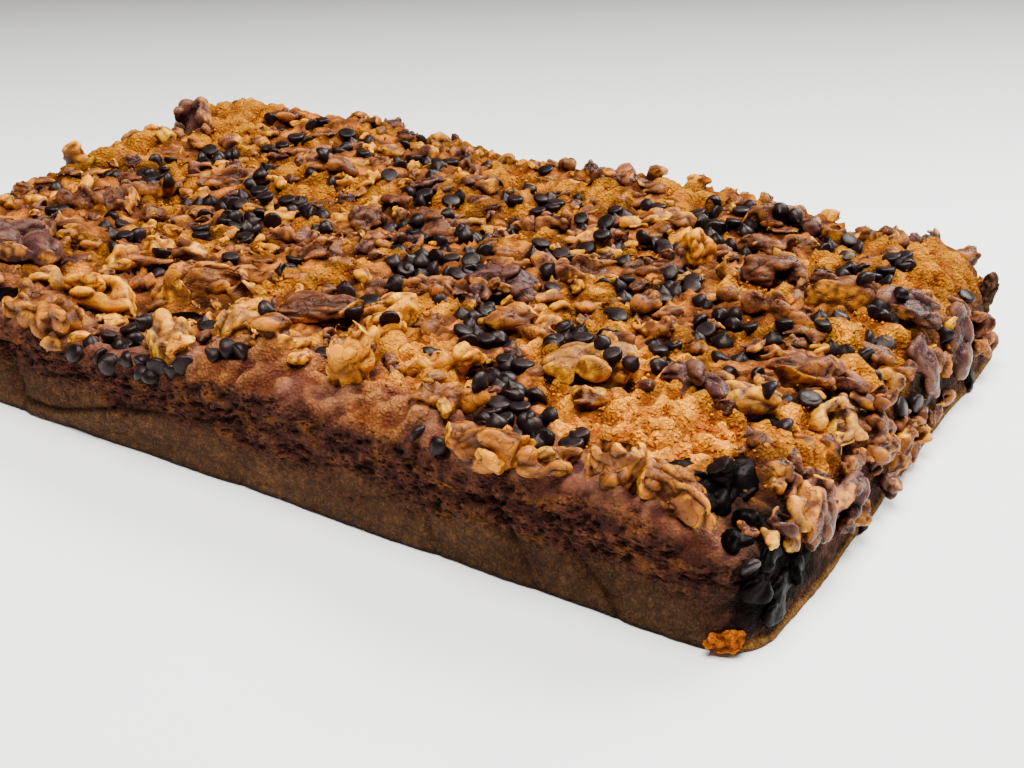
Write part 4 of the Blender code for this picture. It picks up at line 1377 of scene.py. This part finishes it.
def make_kernels(rows):
    """A detailed walnut piece in the place of each CAD one."""
    made = []
    for number, (here, size, shape, skin) in enumerate(rows, 1):
        voxel = mix(*KERNEL_VOXELS, far_share(here))
        places, faces, colours = kernel(shape, skin, size, number, voxel, lobe_width(KERNEL_LOBES, size))
        places = moved(places + (0, 0, KERNEL_LIFT * size[2]), here)
        piece = make_mesh(f"kernel_{number:02d}", places, faces, colours)
        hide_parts(f"walnut_{number:02d}")
        made.append(piece)
    return made


# Chocolate chips: the corners round each, and its outline from the foot to the tip
# as shares of its width and height
CHIP_SIDES = 14
CHIP_PROFILE = (
    (0.41, 0.0), (0.475, 0.05), (0.50, 0.15), (0.49, 0.29), (0.445, 0.43),
    (0.365, 0.56), (0.265, 0.67), (0.165, 0.77), (0.095, 0.86), (0.055, 0.94),
)


def chip(draw):
    """A drop-shaped chip about its foot, with a tip that leans."""
    width = CHIP_WIDTH * draw.uniform(*CHIP_WIDTH_SHARES)
    height = CHIP_HEIGHT * draw.uniform(*CHIP_HEIGHT_SHARES)
    lean_x, lean_y = jitter(draw, CHIP_TIP_LEAN), jitter(draw, CHIP_TIP_LEAN)
    squash = draw.uniform(*CHIP_DEPTH_SHARES)
    spin = draw.uniform(0, math.pi)
    places = [(0, 0, 0)]
    for reach, level in CHIP_PROFILE:
        for k in range(CHIP_SIDES):
            angle = 2 * math.pi * k / CHIP_SIDES
            x = width * reach * math.cos(angle)
            y = width * reach * math.sin(angle) * squash
            turned_x = x * math.cos(spin) - y * math.sin(spin)
            turned_y = x * math.sin(spin) + y * math.cos(spin)
            bend = level ** 2.2
            places.append((turned_x + lean_x * bend, turned_y + lean_y * bend, height * level))
    places.append((lean_x, lean_y, height))
    faces = []
    last = 1 + (len(CHIP_PROFILE) - 1) * CHIP_SIDES
    for k in range(CHIP_SIDES):
        after = (k + 1) % CHIP_SIDES
        faces.append((0, 1 + after, 1 + k))
        for low in range(1, last, CHIP_SIDES):
            high = low + CHIP_SIDES
            faces.append((low + k, low + after, high + after, high + k))
        faces.append((last + k, last + after, len(places) - 1))
    places = np.array(places)
    places[:, :2] *= 1 + CHIP_UNEVENNESS * wave(41, places / 3 + draw.uniform(0, 90))[:, None]
    colours = np.tile(paint(*CHIP_TONE) * draw.uniform(*CHIP_SHADES), (len(places), 1))
    return places, faces, colours


def tilted(draw, here, pose):
    """A chip's own frame: standing, on its side or upside down."""
    tilts = {
        "up": jitter(draw, CHIP_TILT),
        "side": draw.uniform(*CHIP_SIDE_TILTS),
        "over": math.pi + jitter(draw, CHIP_TILT),
    }
    turn = Matrix.Rotation(draw.uniform(0, 2 * math.pi), 4, 'Z') @ Matrix.Rotation(tilts[pose], 4, 'X')
    middle = Matrix.Translation((0, 0, -CHIP_MIDDLE))
    raise_up = Matrix.Translation((0, 0, CHIP_HEIGHT * (0.5 - CHIP_SINK)))
    return here @ raise_up @ turn @ middle


def nut_lift(height):
    """How far above the sponge the middle of a smaller walnut piece stands."""
    return (0.5 - WALNUT_SINK) * height


def chip_frames(tree):
    """A frame for every chip that the photo shows, for the ones between them and
    for the part of the top that the photo cuts off."""
    draw = random.Random(SEEDS["chip places"])
    frames = [seen_frame(tree, column, row, CHIP_MIDDLE) for column, row in SEEN_CHIPS]
    frames = [here for here in frames if here is not None]
    for here in list(frames):
        if draw.random() < CHIP_COMPANY and on_level(here):
            angle = draw.uniform(0, 2 * math.pi)
            gap = draw.uniform(*CHIP_COMPANY_GAP)
            x = here.translation.x + gap * math.cos(angle)
            y = here.translation.y + gap * math.sin(angle)
            if on_top(x, y, CHIP_MARGIN):
                frames.append(top_frame(tree, x, y))
    for _ in range(HIDDEN_CHIPS):
        x = draw.uniform(HIDDEN_MARGIN - HALF_LENGTH, PHOTO_EDGE_FRONT)
        y = draw.uniform(HIDDEN_MARGIN - HALF_WIDTH, 0)
        if out_of_photo(x, y):
            frames.append(top_frame(tree, x, y))
    return frames


def out_of_photo(x, y):
    """Whether the photo's left edge cuts a place of the top off."""
    return x < mix(PHOTO_EDGE_FRONT, -HALF_LENGTH, (y + HALF_WIDTH) / HALF_WIDTH)


def on_top(x, y, margin):
    """Whether a place in plan lies further than a margin inside the edge."""
    return abs(x) < HALF_LENGTH - margin and abs(y) < HALF_WIDTH - margin


def make_chips(frames):
    """A chip in every frame: standing, on its side or upside down."""
    draw = random.Random(SEEDS["chips"])
    parts = []
    for here in frames:
        pose, = draw.choices(("up", "side", "over"))
        shape, faces, colours = chip(draw)
        parts.append((moved(shape, tilted(draw, here, pose)), faces, colours))
    return joined("chips", parts)


def seen_rows(tree, table, long_shapes, round_shapes, seed):
    """The frame, size, shape and skin of every piece in a table read off the photo."""
    draw = random.Random(seed)
    slant = math.radians(CAMERA_PITCH)
    rows = []
    for column, row, length, rise, skin in table:
        depth = NUT_DEPTH * min(rise, length)
        height = (rise - depth * math.sin(slant)) / math.cos(slant)
        here = seen_frame(tree, column, row, nut_lift(height), jitter(draw, SEEN_TURN))
        shape = draw.choice(long_shapes if length > LONG_FROM * depth else round_shapes)
        if here is not None:
            rows.append((here, (length, depth, height), shape, skin))
    return rows


def nut_rows(tree, big):
    """The smaller walnut pieces of the photo that aren't part of a large one."""
    rows = []
    for row in seen_rows(tree, SEEN_NUTS, LONG_SHAPES, ROUND_SHAPES, SEEDS["nuts"]):
        x, y, _ = row[0].translation
        if not on_level(row[0]) or all(off_centre(oval, x, y) > NUT_CLEARANCE for oval in big):
            rows.append(row)
    return rows


def piece_part(row, seed, voxel, lobe):
    """A smaller walnut piece in its place."""
    here, size, shape, skin = row
    places, faces, colours = kernel(shape, skin, size, seed, voxel, lobe)
    return moved(places + (0, 0, nut_lift(size[2])), here), faces, colours


def make_nuts(rows):
    """The smaller walnut pieces, in two objects: the nearer and the farther ones."""
    made = []
    rows = sorted(rows, key=lambda row: far_share(row[0]))
    near = round(NEAR_NUTS * len(rows))
    for name, some in (("walnut_pieces_near", rows[:near]), ("walnut_pieces_far", rows[near:])):
        parts = []
        for number, row in enumerate(some):
            here, size, _, _ = row
            voxel = mix(*NUT_VOXELS, far_share(here))
            lobe = lobe_width(NUT_LOBES, size)
            parts.append(piece_part(row, SEEDS["nut forms"] + 7 * number, voxel, lobe))
        made.append(joined(name, parts))
    return made


def make_knobs(tree):
    """The bright rounded ends of the large pieces."""
    rows = seen_rows(tree, SEEN_KNOBS, ("knob",), ("knob",), SEEDS["knobs"])
    first = SEEDS["knob forms"]
    return joined("walnut_ends", [piece_part(row, first + k, *KNOB_FORM) for k, row in enumerate(rows)])


def make_melts(tree):
    """Chocolate that melted over the cake and set again."""
    table = [(*row, "melt") for row in SEEN_MELTS]
    parts = []
    for k, row in enumerate(seen_rows(tree, table, ("melt",), ("melt",), SEEDS["melts"])):
        here, (length, depth, height), shape, skin = row
        flat = (here, (length, depth, MELT_FLATNESS * height), shape, skin)
        places, faces, colours = piece_part(flat, SEEDS["melt forms"] + k, *MELT_FORM)
        parts.append((above_base(places), faces, colours))
    return joined("melted_chocolate", parts)


def above_base(places):
    """Places with none of them under the base."""
    return np.maximum(places, (-np.inf, -np.inf, 0))


def bare_patches(tree):
    """Every bare patch: place along and across, and radius."""
    patches = list(BARE_PATCHES)
    for column, row, radius in SEEN_BARE:
        here = seen_frame(tree, column, row, 0)
        if here is not None:
            patches.append((here.translation.x, here.translation.y, radius))
    return patches


def bit_places(taken, patches):
    """Seeded places of small walnut bits between the pieces already laid, the
    largest bits first."""
    draw = random.Random(SEEDS["bit places"])
    ovals = np.array(taken)
    sizes = sorted((mix(*BIT_SIZES, draw.random() ** BIT_SMALLNESS) for _ in range(BIT_COUNT)), reverse=True)
    laid = []
    for size in sizes:
        for _ in range(BIT_TRIES):
            x = draw.uniform(-HALF_LENGTH, HALF_LENGTH)
            y = draw.uniform(-HALF_WIDTH, HALF_WIDTH)
            bare = any(math.hypot(x - a, y - b) < PATCH_CORE * radius for a, b, radius in patches)
            if bare or not on_top(x, y, BIT_MARGIN) or y < BIT_FRONT_MARGIN - HALF_WIDTH:
                continue
            grown = ovals[:, 2:4] + 0.5 * size
            off = off_centre((ovals[:, 0], ovals[:, 1], grown[:, 0], grown[:, 1], ovals[:, 4]), x, y)
            if off.min() > BIT_CLOSENESS:
                laid.append((x, y, size))
                ovals = np.append(ovals, [bit_oval(x, y, size)], axis=0)
                break
    return laid


def bit_oval(x, y, size):
    """The oval in plan that a small bit covers."""
    return x, y, BIT_OVAL[0] * size, BIT_OVAL[1] * size, 0


def end_places():
    """Seeded places and sizes of bits on the right end: across and above the base."""
    draw = random.Random(SEEDS["end bits"])
    ranges = (END_BIT_PLACES, END_BIT_LEVELS, END_BIT_SIZES)
    return [[draw.uniform(*ends) for ends in ranges] for _ in range(END_BITS)]


def bit_kinds(draw):
    """The kinds of small walnut bits, each with its skin's name."""
    kinds = []
    for number, skin, shape in zip(range(BIT_KINDS), itertools.cycle(BIT_SKINS), itertools.cycle(BIT_SHAPES)):
        size = (BIT_KIND_LENGTH, draw.uniform(*BIT_KIND_SIDES), draw.uniform(*BIT_KIND_SIDES))
        kinds.append((skin, kernel(shape, skin, size, SEEDS["bit kinds"] + number, *BIT_FORM, smoothing=1)))
    return kinds


def make_bits(tree, places):
    """Small walnut bits, turned copies of a set of kinds."""
    draw = random.Random(SEEDS["bits"])
    kinds = bit_kinds(draw)
    dark = [kind for kind in kinds if kind[0] in DARK_SKINS]
    spots = [(top_frame(tree, x, y, draw.uniform(0, 360)), size, draw.choice(kinds)) for x, y, size in places]
    spots += [(end_frame(tree, y, level, draw.uniform(0, 360)), size, draw.choice(dark))
              for y, level, size in end_places()]
    parts = []
    for here, size, (_, (shape, faces, colours)) in spots:
        tilt_x, tilt_y = (jitter(draw, most) for most in BIT_TILTS)
        lean = Matrix.Rotation(tilt_x, 4, 'X') @ Matrix.Rotation(tilt_y, 4, 'Y')
        scaled = shape * size / BIT_KIND_LENGTH + (0, 0, BIT_LIFT * size)
        parts.append((moved(scaled, here @ lean), faces, colours * draw.uniform(*BIT_SHADES)))
    return joined("walnut_bits", parts)


def crumb_part(draw, here, size, tone):
    """One loose crumb: a small uneven ball."""
    flat = (1, draw.uniform(*CRUMB_FLATNESS), draw.uniform(*CRUMB_FLATNESS))
    shape = np.array(CRUMB_PLACES) * size / 2 * flat
    shape = shape * (1 + np.array([jitter(draw, CRUMB_UNEVENNESS) for _ in CRUMB_PLACES]))[:, None]
    turn = Matrix.Rotation(draw.uniform(0, 6), 4, 'Z') @ Matrix.Rotation(draw.uniform(0, 6), 4, 'X')
    return moved(shape, here @ turn), CRUMB_FACES, np.tile(tone, (len(shape), 1))


def make_crumbs(tree, patches):
    """Loose crumbs on the bare patches and between the pieces."""
    draw = random.Random(SEEDS["crumbs"])
    parts = []
    for _ in range(CRUMB_COUNT):
        if draw.random() < CRUMB_PATCH_SHARE:
            patch_x, patch_y, radius = draw.choice(patches)
            x = draw.gauss(patch_x, CRUMB_SPREAD * radius)
            y = draw.gauss(patch_y, CRUMB_SPREAD * radius)
        else:
            x = draw.uniform(-HALF_LENGTH, HALF_LENGTH)
            y = draw.uniform(-HALF_WIDTH, HALF_WIDTH)
        if on_top(x, y, CRUMB_MARGIN):
            here = top_frame(tree, x, y)
            here.translation += here.col[2].xyz * draw.uniform(*CRUMB_LIFTS)
            tone = mix(paint(*LOOSE_CRUMB[0]), paint(*LOOSE_CRUMB[1]), draw.random())
            parts.append(crumb_part(draw, here, draw.uniform(*CRUMB_SIZES), tone))
    return joined("loose_crumbs", parts)


def make_flakes():
    """The torn crisp edges at the two right corners."""
    parts = []
    for number, (centre, size, turn, tones) in enumerate(FLAKES, SEEDS["flakes"]):
        places, faces = remeshed(block_balls(random.Random(number)), size, 0.7, 2)
        rough = wave(53, places / 2.2)
        places = places + point_normals(places, faces) * (0.9 * rough + 0.4 * wave(54, places / 1.1))[:, None]
        here = Matrix.Translation(centre) @ Matrix.Rotation(math.radians(turn), 4, 'Z')
        parts.append((above_base(moved(places, here)), faces, between(tones, smoothstep(-0.5, 0.5, rough))))
    return joined("crisp_flakes", parts)


# Materials. The scales of their noises are repeats to the metre.

class Looks:
    """A new material's nodes, with short ways to add to them. A step takes sockets
    or numbers and gives a socket."""

    def __init__(self, name):
        self.material = bpy.data.materials.new(name)
        self.material.use_nodes = True
        self.tree = self.material.node_tree
        self.place = self.add("TexCoord").outputs["Object"]

    def join(self, value, socket):
        """Link a socket to another, or set it to a value."""
        if isinstance(value, bpy.types.NodeSocket):
            self.tree.links.new(value, socket)
        else:
            socket.default_value = value

    def add(self, kind, **values):
        """A node with its inputs or settings given by name."""
        node = self.tree.nodes.new("ShaderNode" + kind)
        for key, value in values.items():
            name = key.replace("_", " ")
            if name in node.inputs:
                self.join(value, node.inputs[name])
            else:
                setattr(node, key, value)
        return node

    def noise(self, scale, **values):
        return self.add("TexNoise", Vector=self.place, Scale=scale, **values)

    def grains(self, *scales):
        """A noise with fine detail for each scale."""
        return [self.noise(scale, Detail=4.0, Roughness=0.62).outputs["Fac"] for scale in scales]

    def cells(self, place, scale):
        """The distance from the nearest of scattered centres."""
        return self.add("TexVoronoi", Vector=place, Scale=scale).outputs["Distance"]

    def layer(self, name):
        return self.add("VertexColor", layer_name=name).outputs["Color"]

    def step(self, operation, first, second=0.0):
        node = self.add("Math", operation=operation)
        self.join(first, node.inputs[0])
        self.join(second, node.inputs[1])
        return node.outputs[0]

    def times(self, *values):
        return functools.reduce(functools.partial(self.step, 'MULTIPLY'), values)

    def plus(self, *values):
        return functools.reduce(functools.partial(self.step, 'ADD'), values)

    def ranged(self, value, low, high, to_low, to_high):
        """A value moved from one range to another, held at its ends."""
        node = self.add("MapRange", Value=value, From_Min=low, From_Max=high, To_Min=to_low, To_Max=to_high)
        return node.outputs["Result"]

    def finish(self, shade, height, depth, rough, gloss, tint=(1, 1, 1, 1)):
        """The material, from its shade of the mesh's paint, its bump with the bump's
        depth, its roughness, and the level and tint of its gloss."""
        shaded = self.add("VectorMath", operation='SCALE', Vector=self.layer("paint"), Scale=shade)
        bump = self.add("Bump", Strength=1.0, Distance=depth * MM, Height=height)
        shader = self.tree.nodes["Principled BSDF"].inputs
        self.join(shaded.outputs["Vector"], shader["Base Color"])
        self.join(bump.outputs["Normal"], shader["Normal"])
        self.join(rough, shader["Roughness"])
        shader["Specular IOR Level"].default_value = gloss
        shader["Specular Tint"].default_value = tint
        return self.material


def sponge_material():
    """Granular crumb on the bare patches, a pored crust at the sides."""
    looks = Looks("baked_sponge")
    tone, grain = looks.grains(330, 1500)
    zones = looks.add("SeparateColor", Color=looks.layer("zones")).outputs
    crumb, band, side = zones["Red"], zones["Green"], zones["Blue"]
    wander = looks.noise(420.0, Detail=3.0).outputs["Color"]
    shifted = looks.add("VectorMath", operation='MULTIPLY_ADD', Vector=wander)
    looks.join((GRANULE_SHIFT,) * 3, shifted.inputs[1])
    looks.join(looks.place, shifted.inputs[2])
    beads = looks.ranged(looks.cells(shifted.outputs["Vector"], 800.0), 0.1, 0.7, 1.0, 0.0)
    squashed = looks.add("Mapping", Vector=looks.place, Scale=PORE_SCALES)
    pores = looks.ranged(looks.cells(squashed.outputs["Vector"], 1.0), 0.24, 0.42, 1.0, 0.0)
    pores = looks.times(pores, band, looks.ranged(tone, 0.42, 0.55, 0.0, 1.0))
    spread = looks.times(looks.ranged(tone, 0.3, 0.7, -1, 1), looks.ranged(side, 0, 1, 0.34, 0.3))
    beaded = looks.times(looks.ranged(crumb, 0, 0.7, 0.3, 0.75), looks.ranged(side, 0, 1, 1.0, 2.6))
    bead_shade = looks.times(looks.ranged(beads, 0, 1, -0.5, 0.22), beaded)
    shade = looks.times(looks.plus(1.0, spread), looks.plus(1.0, bead_shade))
    # Painted shade in the pores.
    shade = looks.times(shade, looks.ranged(pores, 0, 1, 1.0, 0.16))
    raised = looks.times(beads, looks.ranged(looks.plus(crumb, side), 0, 1, 0.2, 0.9))
    height = looks.step('SUBTRACT', looks.plus(raised, looks.times(grain, 0.5)), looks.times(pores, 2.2))
    return looks.finish(shade, height, 1.1, looks.ranged(tone, 0.3, 0.7, 0.6, 0.9), SPONGE_GLOSS)


def walnut_material():
    """Oily skin with fine wrinkles and dark veins."""
    looks = Looks("walnut_kernel")
    tone, grain = looks.grains(420, 1300)
    shade = looks.times(looks.ranged(tone, 0.3, 0.7, 0.86, 1.14), looks.ranged(grain, 0.3, 0.7, 0.85, 1.15))
    winding = looks.noise(150.0, Detail=1.5, Distortion=0.6).outputs["Fac"]
    off_vein = looks.step('ABSOLUTE', looks.step('SUBTRACT', winding, 0.5))
    off_vein = looks.plus(off_vein, looks.ranged(tone, 0.44, 0.54, 0.03, 0.0))
    shade = looks.times(shade, looks.ranged(off_vein, 0.0, 0.025, 0.6, 1.0))
    height = looks.plus(tone, looks.times(grain, 0.6), looks.ranged(off_vein, 0.0, 0.03, -0.8, 0.0))
    rough = looks.ranged(tone, 0.35, 0.65, 0.12, 0.34)
    return looks.finish(shade, height, 0.4, rough, WALNUT_GLOSS, WALNUT_TINT)


def chocolate_material(name, gloss):
    """Dark chocolate with a faint bloom and soft gloss."""
    looks = Looks(name)
    tone, grain = looks.grains(260, 900)
    height = looks.plus(tone, looks.times(grain, 0.3))
    shade = looks.ranged(tone, 0.35, 0.65, 0.7, 1.6)
    rough = looks.ranged(tone, 0.35, 0.65, 0.3, 0.48)
    return looks.finish(shade, height, 0.3, rough, gloss, CHOCOLATE_TINT)


def dress(piece, material):
    """Give a piece its only material and its slot, and let it ride on the cake."""
    piece.data.materials.clear()
    piece.data.materials.append(material)
    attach(piece, "root")


# Floor, lights and camera

def make_stage():
    """A pale floor that curves up into a backdrop."""
    wall = FLOOR_REACH / 2
    rows = [(-FLOOR_REACH, 0.0), (wall, 0.0)]
    for k in range(1, BEND_STEPS + 1):
        angle = 0.5 * math.pi * k / BEND_STEPS
        rows.append((wall + FLOOR_BEND * math.sin(angle), FLOOR_BEND * (1 - math.cos(angle))))
    rows.append((wall + FLOOR_BEND, FLOOR_REACH))
    turn = Matrix.Rotation(math.radians(CAMERA_AZIMUTH), 4, 'Z')
    places = [turn @ Vector((x, y, z - FLOOR_GAP)) for y, z in rows for x in (-FLOOR_REACH, FLOOR_REACH)]
    faces = [(2 * k, 2 * k + 1, 2 * k + 3, 2 * k + 2) for k in range(len(rows) - 1)]
    floor = put_in_scene("backdrop", new_mesh("backdrop", places, faces))
    floor.data.shade_smooth()
    looks = Looks("pale_floor")
    away = looks.add("Mapping", vector_type='TEXTURE', Vector=looks.place,
                     Rotation=(0, 0, math.radians(CAMERA_AZIMUTH)))
    distance = looks.add("SeparateXYZ", Vector=away.outputs["Vector"]).outputs["Y"]
    cloud = looks.add("TexNoise", Scale=3.0, Detail=2.0).outputs["Fac"]
    # Painted shade: the floor darkens with distance behind the cake.
    level = looks.times(looks.ranged(distance, *BACKDROP_FADE, *BACKDROP_TONES),
                        looks.ranged(cloud, 0.3, 0.7, 0.98, 1.02))
    shader = looks.tree.nodes["Principled BSDF"].inputs
    looks.join(level, shader["Base Color"])
    shader["Roughness"].default_value = 0.6
    floor.data.materials.append(looks.material)


def make_lights():
    """An even dim room and two soft lamps."""
    world = bpy.data.worlds.new("soft_room")
    world.use_nodes = True
    sky = world.node_tree.nodes["Background"].inputs
    sky["Color"].default_value = (*ROOM_TINT, 1)
    sky["Strength"].default_value = ROOM_LIGHT
    bpy.context.scene.world = world
    for name, place, target, size, power, tint in LAMPS:
        data = bpy.data.lights.new(name, 'AREA')
        data.shape = 'RECTANGLE'
        data.size, data.size_y = size
        data.energy = power
        data.color = tint
        lamp = put_in_scene(name, data)
        lamp.location = place
        lamp.rotation_euler = (Vector(target) - Vector(place)).to_track_quat('-Z', 'Y').to_euler()


def make_camera():
    """The photo's camera."""
    data = bpy.data.cameras.new("camera")
    data.sensor_width = SENSOR
    data.lens = SENSOR * FOCAL_PIXELS / FRAME_WIDTH
    data.dof.use_dof = False
    camera = put_in_scene("camera", data)
    camera.location = Vector(CAMERA_PLACE) * MM
    camera.rotation_euler = camera_axes()[0].to_track_quat('-Z', 'Y').to_euler()
    bpy.context.scene.camera = camera


def pieces_tree(pieces):
    """One search tree of several pieces, in metres."""
    places = []
    faces = []
    for piece in pieces:
        start = len(places)
        places.extend(vertex.co.copy() for vertex in piece.data.vertices)
        faces.extend([[corner + start for corner in face.vertices] for face in piece.data.polygons])
    return BVHTree.FromPolygons(places, faces)


def main():
    make_camera()
    make_stage()
    make_lights()
    places, faces = sponge_shape()
    tree = BVHTree.FromPolygons((places * MM).tolist(), faces)
    big_rows = kernel_rows(tree)
    small_rows = nut_rows(tree, footprints(big_rows))
    kernels = make_kernels(big_rows)
    nuts = make_nuts(small_rows)
    plain = make_mesh("plain_sponge", places, faces)
    full_tree = pieces_tree([plain] + kernels + nuts)
    bpy.data.objects.remove(plain)
    chips = chip_frames(full_tree)
    taken = footprints(big_rows + small_rows)
    taken += [footprint(here, CHIP_WIDTH, CHIP_WIDTH) for here in chips if on_level(here)]
    patches = bare_patches(tree)
    bits = bit_places(taken, patches)
    sponge = make_sponge(places, faces, taken + [bit_oval(*bit) for bit in bits], patches)
    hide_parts("cake")
    loose = [make_crumbs(tree, patches), make_flakes()]
    for piece in loose:
        add_colour(piece.data, "zones", np.tile((1, 0, 0), (len(piece.data.vertices), 1)))
    baked = sponge_material()
    for piece in [sponge] + loose:
        dress(piece, baked)
    nut = walnut_material()
    melted = chocolate_material("melted_chocolate", MELT_GLOSS)
    for piece in kernels + nuts + [make_knobs(full_tree), make_bits(tree, bits)]:
        if piece.name == COATED_KERNEL:
            dress(piece, melted)
        else:
            dress(piece, nut)
    dress(make_chips(chips), chocolate_material("dark_chocolate", CHIP_GLOSS))
    dress(make_melts(tree), melted)


main()
